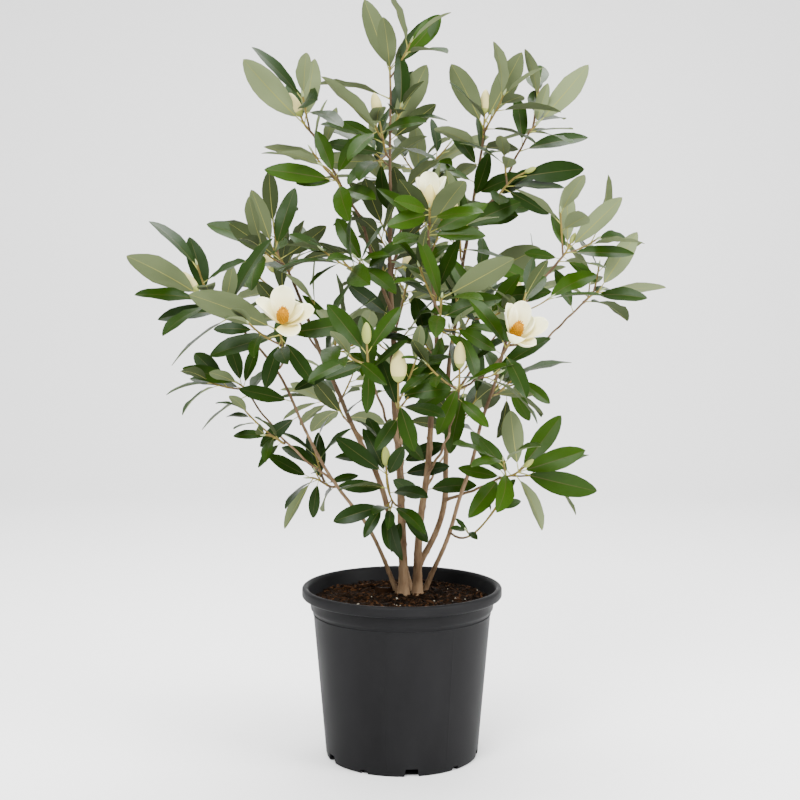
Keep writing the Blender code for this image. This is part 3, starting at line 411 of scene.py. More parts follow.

# Open flowers: the heading of each one's axis, and its petals as turn round the axis, opening from
# it and curl towards it in degrees, length and half-width in millimetres, how deep it is cupped, and
# how much further up it the darker foot colour reaches, partly its own cream and partly painted shade.
Petal = namedtuple("Petal", "turn opening curl length half_width cup cream", defaults=(0.0,))
FLOWER_FORMS = {
    "left_flower": ((280, 50), (
        (96, 38, 60, 62, 19, 0.4), (14, 64, 60, 57, 19, 0.5, 0.25), (162, 55, 45, 57, 13, 0.9),
        (296, 80, 75, 43, 19, 0.5), (52, 66, 50, 44, 17, 0.4, 0.2), (126, 68, 50, 42, 15, 0.4))),
    "right_flower": ((298, 48), (
        (90, 32, 60, 62, 17, 0.45), (138, 38, 50, 58, 14, 0.7), (22, 58, 60, 62, 18, 0.5, 0.2),
        (262, 50, 120, 40, 15, 0.7), (322, 70, 95, 44, 15, 0.6), (62, 56, 55, 48, 17, 0.4))),
    "upper_centre": ((262, 80), (
        (316, 3, 85, 46, 10.5, 0.8, 0.8), (90, 20, 50, 66, 17, 0.5), (18, 28, 35, 60, 15, 0.6),
        (146, 24, 45, 58, 15, 0.6), (176, 38, 15, 50, 10, 0.5), (52, 26, 45, 54, 16, 0.5))),
}
PETAL_CUP = 1.3
PETAL_ROWS = 15
PETAL_COLUMNS = 13
PETAL_WALL = 0.0008

# The cone in a flower's middle: half-width and height for each kind, where it starts above the
# flower's foot, the rows and sides of its core, and the stamens round it.
CENTRE_SIZES = {"open": (0.0092, 0.029), "half_open": (0.0078, 0.036)}
CENTRE_FOOT = 0.003
CENTRE_ROWS = 8
CENTRE_SIDES = 12
STAMENS = 96
STAMEN_RADII = (0.0007, 0.0011, 0.0012, 0.0006)
STAMEN_SIDES = 5

# Studio: place, size and power of each soft box, the point that they face, and the world's strength.
LIGHTS = {"key": ((-1.3, -3.0, 3.4), 2.2, 390), "fill": ((2.8, -1.6, 1.8), 1.8, 230),
          "top": ((0.0, 0.9, 3.6), 2.4, 320)}
LIT_POINT = (0, 0, 0.7)
WORLD_STRENGTH = 0.7
CAMERA_ASIDE = -0.0035


# Vectors and curves

def unit(vector):
    return np.asarray(vector, float) / np.linalg.norm(vector)


def units(rows):
    return rows / np.linalg.norm(rows, axis=-1, keepdims=True)


def heading_vector(around, up):
    """The unit vector that points round by one angle and up by the other, in degrees."""
    around = math.radians(around)
    up = math.radians(up)
    return np.array([math.cos(around) * math.cos(up), math.sin(around) * math.cos(up), math.sin(up)])


def across(axis, turn):
    """The unit vector square to an axis, turned round it from +X (from +Y where it runs along X)."""
    base = np.array([1.0, 0.0, 0.0]) if abs(axis[0]) < 0.9 else np.array([0.0, 1.0, 0.0])
    first = unit(base - axis * base.dot(axis))
    return first * math.cos(turn) + np.cross(axis, first) * math.sin(turn)


def ways_round(axis, turns):
    """The unit vectors square to an axis at each turn: cos t one side + sin t the side across from it."""
    first = across(axis, 0.0)
    return np.cos(turns)[..., None] * first + np.sin(turns)[..., None] * np.cross(axis, first)


def smooth_path(points, count):
    """Evenly spaced points along the Catmull-Rom curve through the given ones."""
    points = np.asarray(points, float)
    ends = np.vstack([2 * points[0] - points[1], points, 2 * points[-1] - points[-2]])
    share = np.linspace(0, 1, SPAN_SAMPLES, endpoint=False)[:, None]
    spans = []
    for a, b, c, d in zip(ends[:-3], ends[1:-2], ends[2:-1], ends[3:]):
        bend = (2 * a - 5 * b + 4 * c - d) * share**2 + (3 * b - a - 3 * c + d) * share**3
        spans.append(0.5 * (2 * b + (c - a) * share + bend))
    return evenly(np.vstack(spans + [points[-1:]]), count)


def swept_path(start, leaving, end, arriving, count):
    """Evenly spaced points along a cubic curve with a direction given at each end."""
    pull = SWEEP_PULL * np.linalg.norm(end - start)
    share = np.linspace(0, 1, SWEEP_SAMPLES)[:, None]
    rest = 1 - share
    curve = rest**3 * start + 3 * rest**2 * share * (start + leaving * pull)
    curve += 3 * rest * share**2 * (end - arriving * pull) + share**3 * end
    return evenly(curve, count)


def distances(path):
    """How far along a path each of its points lies."""
    return np.concatenate([[0], np.cumsum(np.linalg.norm(np.diff(path, axis=0), axis=1))])


def evenly(curve, count):
    along = distances(curve)
    places = np.linspace(0, along[-1], count)
    return np.stack([np.interp(places, along, curve[:, k]) for k in range(3)], axis=1)


def directions(path):
    return np.array([unit(row) for row in np.gradient(path, axis=0)])


def length_of(path):
    return np.linalg.norm(np.diff(path, axis=0), axis=1).sum()


def point_along(path, share):
    """The point and the direction at a share of a path's length."""
    place = share * (len(path) - 1)
    index = np.arange(len(path))
    point, ahead = ([np.interp(place, index, rows[:, k]) for k in range(3)]
                    for rows in (path, directions(path)))
    return np.array(point), unit(ahead)


def share_at_height(path, height):
    return float(np.interp(height, path[:, 2], np.linspace(0, 1, len(path))))


def share_before_tip(path, back):
    return max(0.0, 1 - back / length_of(path))


# Surfaces as arrays

def grid_quads(sheets, rows, columns, closed):
    """Corner numbers of every quad in a stack of sheets, each a grid of rows by columns points."""
    steps = columns if closed else columns - 1
    row, column = np.meshgrid(np.arange(rows - 1), np.arange(steps), indexing="ij")
    low = row * columns
    following = (column + 1) % columns
    quads = np.stack([low + column, low + following, low + columns + following, low + columns + column],
                     axis=-1).reshape(-1, 4)
    return (quads[None] + np.arange(sheets)[:, None, None] * rows * columns).reshape(-1, 4)


def carried_rings(paths, radii, sides, foot_way=None):
    """Rings carried along many paths at once without twist: point + radius (cos a side + sin a other).

    The side is kept square to the path by taking off its part along it at each station.
    """
    heading = units(np.gradient(paths, axis=1))
    if foot_way is not None:
        heading[:, 0] = foot_way
    along_x = np.abs(heading[:, 0, :1]) >= 0.9
    side = np.where(along_x, (0.0, 1.0, 0.0), (1.0, 0.0, 0.0))
    angles = np.linspace(0, 2 * math.pi, sides, endpoint=False)
    radii = np.broadcast_to(radii if np.ndim(radii) == 3 else np.asarray(radii)[..., None],
                            (*paths.shape[:2], sides))
    rings = []
    for station in range(paths.shape[1]):
        ahead = heading[:, station]
        side = units(side - ahead * np.sum(side * ahead, axis=1, keepdims=True))
        other = np.cross(ahead, side)
        spread = np.cos(angles)[:, None] * side[:, None] + np.sin(angles)[:, None] * other[:, None]
        rings.append(paths[:, station, None] + radii[:, station, :, None] * spread)
    return np.stack(rings, axis=1)


def capped_tubes(paths, radii, sides, foot_way=None):
    """Points, quads and end caps of many tubes with the same number of stations."""
    count, stations = paths.shape[:2]
    points = carried_rings(paths, radii, sides, foot_way).reshape(-1, 3)
    quads = grid_quads(count, stations, sides, closed=True)
    first = np.arange(count)[:, None] * stations * sides + np.arange(sides)
    caps = np.vstack([first[:, ::-1], first + (stations - 1) * sides])
    return points, [quads, caps]


def pointed_rings(rings, low, high):
    """Points and faces of a stack of rings that is closed by a point at each end."""
    rows, columns = rings.shape[:2]
    around = np.arange(columns)
    following = (around + 1) % columns
    count = rows * columns
    last = count - columns
    foot = np.stack([np.full(columns, count), following, around], axis=1)
    head = np.stack([np.full(columns, count + 1), last + around, last + following], axis=1)
    quads = grid_quads(1, rows, columns, closed=True)
    return np.vstack([rings.reshape(-1, 3), [low, high]]), [quads, foot, head]


def turned(radii, heights, angles):
    """Rings round +Z, one for each radius: (r cos a, r sin a, height)."""
    radii = np.asarray(radii)[:, None]
    x = radii * np.cos(angles)
    return np.stack([x, radii * np.sin(angles), np.broadcast_to(heights, x.shape)], axis=-1)


class Heap:
    """Points, faces and material numbers of many shapes that are joined into one piece."""

    def __init__(self):
        self.points = []
        self.blocks = []
        self.picks = []
        self.total = 0

    def add(self, points, blocks, picks=(0, 0, 0)):
        """Adds a shape. picks holds a number, or an array with one for each face, for each block."""
        points = np.reshape(points, (-1, 3))
        for block, pick in zip(blocks, picks):
            self.blocks.append(block + self.total)
            self.picks.append(np.broadcast_to(pick, len(block)))
        self.points.append(points)
        self.total += len(points)
        return self

    def piece(self, name, looks, slot, sharp=60):
        """The mesh object of all that was added, riding on the plant's one body."""
        points = np.concatenate(self.points).astype(np.float32)
        sizes = np.concatenate([np.full(len(block), block.shape[1]) for block in self.blocks])
        corners = np.concatenate([block.ravel() for block in self.blocks])
        starts = np.concatenate([[0], np.cumsum(sizes)[:-1]])
        mesh = bpy.data.meshes.new(name)
        for look in looks:
            mesh.materials.append(look)
        mesh.vertices.add(len(points))
        mesh.vertices.foreach_set("co", points.ravel())
        mesh.loops.add(len(corners))
        mesh.loops.foreach_set("vertex_index", corners.astype(np.int32))
        mesh.polygons.add(len(sizes))
        mesh.polygons.foreach_set("loop_start", starts.astype(np.int32))
        mesh.polygons.foreach_set("material_index", np.concatenate(self.picks).astype(np.int32))
        mesh.update(calc_edges=True)
        mesh.validate()
        mesh.shade_smooth()
        mesh.set_sharp_from_angle(angle=math.radians(sharp))
        made = bpy.data.objects.new(name, mesh)
        bpy.context.scene.collection.objects.link(made)
        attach(made, "root")
        return made


# Solids that the growth is tested against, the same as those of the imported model

def as_solid(points, blocks):
    return points, [face for block in blocks for face in block.tolist()]


def tube_solid(path, radii, sides, foot_way=None):
    return as_solid(*capped_tubes(path[None], np.asarray(radii)[None], sides, foot_way))


def rib_point(root, ahead, face, length, share):
    """The point at a share of the length of a midrib that bends away from the leaf's upper face."""
    turned_by = LEAF_BEND * share
    return root + length * (ahead * math.sin(turned_by) - face * (1 - math.cos(turned_by))) / LEAF_BEND


def blade_solid(root, ahead, face, length):
    """A leaf as a flat-topped boat: six points round its edge and one keel point below."""
    side = np.cross(ahead, face) * LEAF_HALF_WIDTH * length
    lift = face * LEAF_HALF_WIDTH * length * LEAF_FOLD
    low, high, middle, tip = (rib_point(root, ahead, face, length, share)
                              for share in (*LEAF_STATIONS, sum(LEAF_STATIONS) / 2, 1.0))
    return np.array([root, low + lift - side, high + lift - side, tip, high + lift + side,
                     low + lift + side, middle - face * LEAF_THICKNESS * length]), LEAF_FACES


def bud_solid(kind, foot, axis):
    length, half_width = BUDS[kind]
    path = foot + np.outer(BUD_SHAPE[:, 0] * length, axis)
    return tube_solid(path, BUD_SHAPE[:, 1] * half_width, BUD_SIDES)


def flower_solid(kind, foot, axis, turn):
    """A flower's bowl and boss as a stack of rings (radius, height), closed by a point at each end."""
    length, angle = FLOWERS[kind]
    out, up = math.sin(math.radians(angle)), math.cos(math.radians(angle))
    sides = 2 * FLOWER_PETALS
    full = np.ones(sides)
    reach = np.where(np.arange(sides) % 2 == 0, 1.0, PETAL_NOTCH) * length
    waist = length * min(0.45, 0.45 * out + 0.135)
    waist_height = length * max(0.4 * up, 0.1)
    throat = BOSS_RADIUS * BOSS_THROAT
    floor = np.interp(throat, (FLOWER_FOOT, waist), (0.0, waist_height)) + 2 * PETAL_THICKNESS
    rings = (
        (full * FLOWER_FOOT, full * 0.0),
        (full * waist, full * waist_height),
        (reach * out, reach * up),
        (full * (waist - PETAL_THICKNESS), full * (waist_height + PETAL_THICKNESS)),
        (full * throat, full * floor),
        (full * BOSS_RADIUS, full * BOSS_HEIGHT * BOSS_SHOULDER),
    )
    ways = ways_round(axis, turn + np.arange(sides) * 2 * math.pi / sides)
    points = np.array([foot + ways * radius[:, None] + np.outer(height, axis) for radius, height in rings])
    return as_solid(*pointed_rings(points, foot - axis * PETAL_THICKNESS, foot + axis * BOSS_HEIGHT))


class Room:
    """What already stands in the crown, each thing as a ball round it and a tree of its faces."""

    def __init__(self):
        self.centres = []
        self.reaches = []
        self.trees = []
        self.owners = []

    @staticmethod
    def ball(vertices):
        centre = vertices.mean(axis=0)
        return centre, np.linalg.norm(vertices - centre, axis=1).max()

    def add(self, solid, owner):
        vertices, faces = solid
        centre, reach = self.ball(vertices)
        self.centres.append(centre)
        self.reaches.append(reach)
        self.trees.append(BVHTree.FromPolygons(vertices.tolist(), faces))
        self.owners.append(owner)

    def touches(self, solid, skip=()):
        """Whether a solid crosses anything here that isn't owned by a name in skip."""
        vertices, faces = solid
        centre, reach = self.ball(vertices)
        apart = np.linalg.norm(np.array(self.centres) - centre, axis=1)
        near = np.nonzero(apart < reach + np.array(self.reaches))[0]
        tree = BVHTree.FromPolygons(vertices.tolist(), faces)
        return any(self.owners[k] not in skip and tree.overlap(self.trees[k]) for k in near)


def in_crown(point):
    widest = np.interp(point[2], CROWN_HEIGHTS, CROWN_RADII)
    return CROWN_HEIGHTS[0] < point[2] < CROWN_HEIGHTS[-1] and math.hypot(point[0], point[1]) < widest


def padded(solid):
    """The solid, a little larger about its middle, which leaves a clear gap once it is placed."""
    vertices, faces = solid
    away = vertices - vertices.mean(axis=0)
    return vertices + away / np.linalg.norm(away, axis=1)[:, None] * CLEARANCE, faces


# Growth. A twig has its coarse and its fine path, the radii of its foot and tip, the plan of its
# leaves (count, longest, turn of the first), the places of those that found room as shares of its
# length, and whether it ends in a bloom.

Twig = namedtuple("Twig", "path fine foot tip count longest turn shares bloom", defaults=((), False))
Leaf = namedtuple("Leaf", "root ahead face size spray limp")
Bloom = namedtuple("Bloom", "mass kind foot axis turn")
Plant = namedtuple("Plant", "limbs twigs leaves blooms")


def wandering_path(points, stations, seed):
    """The smooth path through some points, with a slow seeded wave added across and in depth."""
    path = smooth_path(points, stations)
    draw = np.random.default_rng(seed)
    share = np.linspace(0, 1, len(path))
    for axis in range(2):
        waves = draw.uniform(*WANDER_WAVES)
        phase = draw.uniform(0, 2 * math.pi)
        path[:, axis] += WANDER * np.sin(math.pi * share) * np.sin(waves * 2 * math.pi * share + phase)
    return path


def grow_limbs(fine=False):
    """The path and the radii of every limb, by name. A fine one has a station each few millimetres."""
    coarse = {}
    grown = {}
    for number, (name, carrier, height, points, (foot, tip)) in enumerate(LIMBS):
        points = [np.array(point) / 1000 for point in points]
        if carrier:
            fork = share_at_height(coarse[carrier], height / 1000)
            points.insert(0, point_along(coarse[carrier], fork)[0])
        else:
            points[0] = (*points[0], SOIL_TOP + GAP)
        path = coarse[name] = wandering_path(points, BOUGH_STATIONS if carrier else STEM_STATIONS, number)
        if fine:
            path = wandering_path(points, int(length_of(np.array(points)) / FINE_STEP), number)
        share = np.linspace(0, 1, len(path))
        radii = (foot + (tip - foot) * share**TAPER_POWER) / 1000
        if not carrier:
            radii *= 1 + FLARE * np.exp((SOIL_TOP - path[:, 2]) / FLARE_HEIGHT)
        grown[name] = (path, radii)
    return grown


def stem_of(mass, limbs, stations):
    """The path of a mass's own stem, clear of its limb, and the way in which it leaves that limb."""
    path, radii = limbs[mass.limb]
    end = np.array(mass.end) / 1000
    if mass.height is None:
        leaving = directions(path)[-1]
        start = path[-1] + leaving * GAP
    else:
        share = share_at_height(path, mass.height / 1000)
        middle, along = point_along(path, share)
        leaving = end - middle
        leaving = unit(leaving - along * leaving.dot(along))
        start = middle + leaving * (np.interp(share, np.linspace(0, 1, len(path)), radii) + SIDE_GAP)
    return swept_path(start, leaving, end, heading_vector(*mass.heading), stations), leaving


def shoot_path(stem, share, turn, length, stations, angle=SHOOT_ANGLE):
    """A side shoot that leaves a stem at a slant and bends up towards the light."""
    start, along = point_along(stem, share)
    leaving = along * math.cos(angle) + across(along, turn) * math.sin(angle)
    arriving = unit(leaving + np.array([0, 0, SHOOT_LIFT]))
    return swept_path(start, leaving, start + unit(leaving + arriving) * length, arriving, stations)


def leaf_frame(path, back, turn, angle, sag, roll):
    """Root, direction and upper face of a leaf that grows some way back from a twig's tip."""
    root, along = point_along(path, share_before_tip(path, back))
    out = across(along, turn)
    ahead = unit(along * math.cos(angle) + out * math.sin(angle) - np.array([0, 0, sag]))
    face = along + LEAF_LIGHT * np.array([0, 0, 1.0])
    face = unit(face - ahead * face.dot(ahead))
    return root, ahead, face * math.cos(roll) + np.cross(ahead, face) * math.sin(roll)


def leaves_on(count, longest, turn, draw):
    """For each leaf of a twig, from its tip down: how far back, turn, angle, sag, roll and length."""
    for k in range(count):
        back = LEAF_FIRST + LEAF_SPACING * k * (1 + LEAF_SPREAD * k)
        angle = min(LEAF_STEEPEST + LEAF_OPENING * k + draw.normal(0, 0.1), LEAF_FLATTEST)
        share = LEAF_SIZES[min(k, len(LEAF_SIZES) - 1)] * (1 - LEAF_SHRINK * k)
        size = longest * share * draw.uniform(0.88, 1.06)
        yield back, turn + k * SPIRAL + draw.normal(0, 0.12), angle, LEAF_SAG * k, draw.normal(0, 0.16), size


def grow_twigs(mass, number, limbs, room):
    """The twigs of one mass, its stem first, and its bloom."""
    draw = np.random.default_rng(TWIG_SEED + number)
    turn = math.radians(mass.turn)
    longest = mass.length / 1000
    stem, leaving = stem_of(mass, limbs, TWIG_STATIONS + 1)
    fine = stem_of(mass, limbs, FINE_TWIG_STATIONS)[0]
    stalk = stem
    bloom = None
    if mass.bloom:
        axis = heading_vector(*mass.heading)
        tip = stem[-1] + axis * BLOOM_STALK
        bloom = Bloom(mass.name, mass.bloom, tip - axis * BLOOM_SINK, axis, turn)
        solid = bud_solid(*bloom[1:4]) if mass.bloom in BUDS else flower_solid(*bloom[1:])
        room.add(solid, mass.name)
        stalk = np.vstack([stem, tip])
        fine = evenly(np.vstack([fine, tip]), FINE_TWIG_STATIONS)
    radii = np.linspace(TWIG_FOOT, TWIG_TIP, len(stalk))
    room.add(tube_solid(stalk, radii, TWIG_SIDES, foot_way=leaving), mass.name)
    twigs = [Twig(stem, fine, TWIG_FOOT, TWIG_TIP, mass.leaves, longest, turn, bloom=bool(mass.bloom))]
    foot, tip = TWIG_FOOT * SHOOT_SCALE, TWIG_TIP * SHOOT_SCALE
    for k in range(mass.shoots):
        step = (k + draw.uniform(0.2, 0.8)) / mass.shoots
        share = SHOOT_SPAN[0] + (SHOOT_SPAN[1] - SHOOT_SPAN[0]) * step
        reach = SHOOT_LENGTH * draw.uniform(0.8, 1.2)
        around = turn + SHOOT_FIRST_TURN + k * SHOOT_SPIRAL
        for change in TRIES:
            path, fine = (shoot_path(stem, share, around + math.radians(change), reach, stations)
                          for stations in (TWIG_STATIONS, FINE_TWIG_STATIONS))
            radii = np.linspace(TWIG_FOOT, TWIG_TIP, len(path)) * SHOOT_SCALE
            solid = tube_solid(path, radii, TWIG_SIDES)
            if in_crown(path[-1]) and not room.touches(padded(solid), skip=(mass.name,)):
                room.add(solid, mass.name)
                twigs.append(Twig(path, fine, foot, tip, min(SHOOT_LEAVES, mass.leaves),
                                  longest * SHOOT_SCALE, around + SHOOT_LEAF_TURN))
                break
    return twigs, bloom


def has_room(room, name, leaf, keep_clear=()):
    """Whether a leaf's blade crosses nothing, and its foot nothing but its own mass.

    keep_clear holds balls (middle, radius). One whose middle has no depth is a lane from front to back.
    """
    root, ahead, face, size = leaf[:4]
    foot = ahead * size * BLADE_FOOT
    blade = blade_solid(root + foot, ahead, face, size * (1 - BLADE_FOOT))
    whole = blade_solid(root, ahead, face, size)
    if room.touches(padded(blade)) or room.touches(padded(whole), skip=(name,)):
        return False
    return all(np.nansum((blade[0] - place) ** 2, axis=1).min() >= reach**2 for place, reach in keep_clear)


def grow_leaves(name, spray, draw, twig, room, tries, keep_clear, first=0):
    """The leaves of one twig that find room, and their places on it as shares of its length."""
    leaves = []
    shares = []
    planned = list(leaves_on(twig.count, twig.longest, twig.turn, draw))
    for back, around, angle, sag, roll, size in planned[first:]:
        for change in tries:
            place = leaf_frame(twig.path, back, around + math.radians(change), angle, sag, roll)
            leaf = Leaf(*place, size, spray, 1.0)
            if in_crown(rib_point(*place, size, 1.0)) and has_room(room, name, leaf, keep_clear):
                room.add(blade_solid(*place, size), name)
                leaves.append(leaf._replace(size=size * np.interp(size, STRETCHED_SIZES, STRETCHES)))
                shares.append(share_before_tip(twig.path, back))
                break
    return leaves, shares


def lead_leaves(rows, limbs, masses, room):
    """The leading leaves that find room, each after the name of the mass or limb that carries it."""
    numbers = {mass.name: number for number, mass in enumerate(rows)}
    grown = []
    for carrier, *leaves in LEADING_LEAVES:
        for place, lean, forward, turn, length in leaves:
            if carrier in numbers:
                spray = numbers[carrier]
                path = masses[spray][0][0].path
                share = share_before_tip(path, place / 1000)
            else:
                spray = LIMB_SPRAYS + list(limbs).index(carrier)
                path = limbs[carrier][0]
                share = share_at_height(path, place / 1000)
            root = point_along(path, share)[0]
            slant, roll = math.radians(lean), math.radians(turn)
            for change in LEADING_TRIES:
                tilt = math.radians(forward + change)
                ahead = np.array([math.sin(slant) * math.cos(tilt), -math.sin(tilt),
                                  math.cos(slant) * math.cos(tilt)])
                face = unit(ahead * ahead[1] - np.array([0, 1.0, 0]))
                over = np.cross(ahead, face) * (-1 if lean >= 0 else 1)
                face = face * math.cos(roll) + over * math.sin(roll)
                leaf = Leaf(root, ahead, face, length / 1000, spray, LEADING_LIMP)
                if has_room(room, carrier, leaf):
                    room.add(blade_solid(*leaf[:4]), carrier)
                    grown.append((carrier, leaf))
                    break
    return grown


def clearings(blooms):
    """What leaves stay out of, as (middle, radius): balls at and before each bloom, and the sky lanes."""
    for aside, height, reach in SKY_LANES:
        yield np.array((aside, math.nan, height)), reach
    for bloom in blooms:
        closed = bloom.kind in BUDS
        length = BUDS[bloom.kind][0] if closed else FLOWER_LENGTH
        axis = bloom.axis if closed else heading_vector(*FLOWER_FORMS[bloom.mass][0])
        count, reach = BUD_CLEARING if closed else FLOWER_CLEARING
        for step in range(count):
            yield bloom.foot + axis * length / 2 - np.array([0, CLEARING_STEP * step, 0]), length * reach


def spurs(limbs, masses, draw):
    """Short side twigs on the limbs and on each mass's stem, each after the number of its spray."""
    def spur(carrier, share, turn, length, longest):
        path = shoot_path(carrier, share, turn, length, FINE_TWIG_STATIONS, SPUR_ANGLE)
        return Twig(path, path, TWIG_FOOT * SPUR_SCALE, TWIG_TIP * SPUR_SCALE, SPUR_LEAVES, longest, turn)

    for number, (path, _) in enumerate(limbs.values()):
        count = int(length_of(path) / SPUR_SPACING)
        for k in range(count):
            share = (k + draw.uniform(0.25, 0.75)) / count
            x, y, z = point_along(path, share)[0]
            if z > SPUR_LOWEST and math.hypot(x, y) < SPUR_RADIUS:
                turn = k * SPIRAL + number
                yield LIMB_SPRAYS + number, spur(path, share, turn, draw.uniform(0.035, 0.085),
                                                 draw.uniform(0.1, 0.13))
    for number, ((stem, *_), _) in enumerate(masses):
        share = draw.uniform(0.15, 0.6)
        yield number, spur(stem.path, share, stem.turn + SPUR_TURN, draw.uniform(0.03, 0.055),
                           stem.longest * 0.9)


def faced_out(leaf, draw):
    """The leaf, rolled about its own direction so that its upper face looks more away from the plant."""
    beside = np.cross(leaf.ahead, leaf.face)
    outward = unit((leaf.root[0], leaf.root[1], 0.02))
    roll = FACE_OUT * beside.dot(outward) + draw.normal(0, ROLL_SPREAD)
    return leaf._replace(face=leaf.face * math.cos(roll) + beside * math.sin(roll))


@functools.cache
def plant():
    """Everything that grows: fine limbs, twigs, leaves and blooms."""
    limbs = grow_limbs()
    room = Room()
    for name, (path, radii) in limbs.items():
        stands = name.startswith("stem")
        sides = STEM_SIDES if stands else BOUGH_SIDES
        room.add(tube_solid(path, radii, sides, foot_way=(0, 0, 1) if stands else None), name)
    rows = [Mass(*row) for row in MASSES]
    masses = [grow_twigs(mass, number, limbs, room) for number, mass in enumerate(rows)]
    twigs = []
    leaves = []
    blooms = [bloom for _, bloom in masses if bloom]
    clear = list(clearings(blooms))
    leading = lead_leaves(rows, limbs, masses, room)
    for number, (mass, (grown_twigs, _)) in enumerate(zip(rows, masses)):
        draw = np.random.default_rng(FOLIAGE_SEED + number)
        led = sum(name == mass.name for name, _ in leading)
        for k, twig in enumerate(grown_twigs):
            first = 0 if k else min(round(LED_SHARE * led), twig.count - 2)
            grown, shares = grow_leaves(mass.name, number, draw, twig, room, WIDE_TRIES, clear, first)
            leaves += grown
            twigs.append(twig._replace(shares=shares))
    draw = np.random.default_rng(SPUR_SEED)
    for spray, twig in spurs(limbs, masses, draw):
        if in_crown(twig.path[-1]):
            grown, shares = grow_leaves("spur", spray, draw, twig, room, TRIES[:3], clear)
            if len(grown) > 1:
                leaves += grown
                twigs.append(twig._replace(shares=shares))
    leaves = [faced_out(leaf, draw) for leaf in leaves] + [leaf for _, leaf in leading]
    return Plant(grow_limbs(fine=True), twigs, leaves, blooms)


# Materials

def feed(tree, target, inputs):
    """Gives each named input of a node its value, or links it to the output that feeds it."""
    for socket, value in inputs.items():
        if isinstance(value, bpy.types.NodeSocket):
            tree.links.new(value, target.inputs[socket])
        else:
            target.inputs[socket].default_value = value
    return target


def node(tree, kind, inputs=None, **settings):
    """A new shader node, whose settings are made before its inputs are fed."""
    made = tree.nodes.new("ShaderNode" + kind)
    for name, value in settings.items():
        setattr(made, name, value)
    return feed(tree, made, inputs or {})


def noise(tree, scale, stretch=(1, 1, 1), detail=3.0, roughness=0.55):
    """A noise on Object coordinates, drawn out by a stretch along each axis."""
    place = node(tree, "TexCoord").outputs["Object"]
    drawn = node(tree, "Mapping", {"Vector": place, "Scale": stretch}).outputs["Vector"]
    inputs = {"Vector": drawn, "Scale": scale, "Detail": detail, "Roughness": roughness}
    return node(tree, "TexNoise", inputs).outputs["Fac"]


def ranged(tree, value, low, high, to_low=0.0, to_high=1.0):
    """A value whose stretch from low to high is carried over to another one."""
    inputs = {"Value": value, "From Min": low, "From Max": high, "To Min": to_low, "To Max": to_high}
    return node(tree, "MapRange", inputs).outputs["Result"]


def mixed(tree, share, first, last):
    """A colour between two others."""
    inputs = {"Factor": share, "A": first, "B": last}
    return node(tree, "Mix", inputs, data_type="RGBA").outputs["Result"]


def grain_group(name):
    """A node group that takes two colours and two roughnesses and gives a grain, still without nodes."""
    group = bpy.data.node_groups.new(name, "ShaderNodeTree")
    for way, labels in (("INPUT", ("Light", "Dark", "Smooth", "Rough")),
                        ("OUTPUT", ("Color", "Height", "Roughness"))):
        for label in labels:
            kind = "NodeSocketColor" if label in ("Light", "Dark", "Color") else "NodeSocketFloat"
            group.interface.new_socket(label, in_out=way, socket_type=kind)
    return group, group.nodes.new("NodeGroupInput").outputs, group.nodes.new("NodeGroupOutput")


@functools.cache
def fibre_group():
    """Bark: two colours mixed by lengthwise streaks, with the streaks as height and roughness."""
    group, given, end = grain_group("bark fibre")
    streaks = noise(group, 260, (1, 1, 0.09), 6.0, 0.65)
    patches = noise(group, 28, (1, 1, 0.5))
    both = node(group, "Math", {0: streaks, 1: 0.55, 2: patches}, operation="MULTIPLY_ADD").outputs[0]
    colour = mixed(group, ranged(group, both, 0.55, 1.0), given["Dark"], given["Light"])
    rough = ranged(group, streaks, 0.0, 1.0, given["Smooth"], given["Rough"])
    feed(group, end, {"Color": colour, "Height": streaks, "Roughness": rough})
    return group


@functools.cache
def speckle_group():
    """Fine grain: two colours and roughnesses mixed by soft clouds, with the grain as height."""
    group, given, end = grain_group("fine grain")
    clouds = ranged(group, noise(group, 14, (1, 1, 0.35)), 0.3, 0.7)
    colour = mixed(group, clouds, given["Dark"], given["Light"])
    rough = ranged(group, clouds, 0.0, 1.0, given["Smooth"], given["Rough"])
    feed(group, end, {"Color": colour, "Height": noise(group, 900), "Roughness": rough})
    return group


def new_look(name, colour, roughness=0.5, specular=0.15):
    """A material with its own Principled shader."""
    look = bpy.data.materials.new(name)
    look.use_nodes = True
    feed(look.node_tree, look.node_tree.nodes["Principled BSDF"],
         {"Base Color": (*colour, 1), "Roughness": roughness, "Specular IOR Level": specular})
    return look


def dress(look, height, strength, distance, **inputs):
    """Gives a look's shader a bump of that height, and what else it is fed by."""
    tree = look.node_tree
    bump = node(tree, "Bump", {"Height": height, "Strength": strength, "Distance": distance})
    feed(tree, tree.nodes["Principled BSDF"], {"Normal": bump.outputs["Normal"], **inputs})
    return look


def grained_look(name, group, light, dark, strength, distance, limits=(0.65, 0.95), specular=0.15):
    """A material whose colour, roughness and bump come from a grain group with its own two colours."""
    look = new_look(name, light, specular=specular)
    inputs = {"Light": (*light, 1), "Dark": (*dark, 1), "Smooth": limits[0], "Rough": limits[1]}
    grain = node(look.node_tree, "Group", inputs, node_tree=group).outputs
    inputs = {"Base Color": grain["Color"], "Roughness": grain["Roughness"]}
    return dress(look, grain["Height"], strength, distance, **inputs)


def leaf_look(name, colour, smooth, rough, scale, strength, specular=0.15):
    """A leaf's plain base colour, with a fine net of veins as bump and a little change of gloss."""
    look = new_look(name, colour, specular=specular)
    net = noise(look.node_tree, scale)
    return dress(look, net, strength, 0.0006, Roughness=ranged(look.node_tree, net, 0.3, 0.7, smooth, rough))


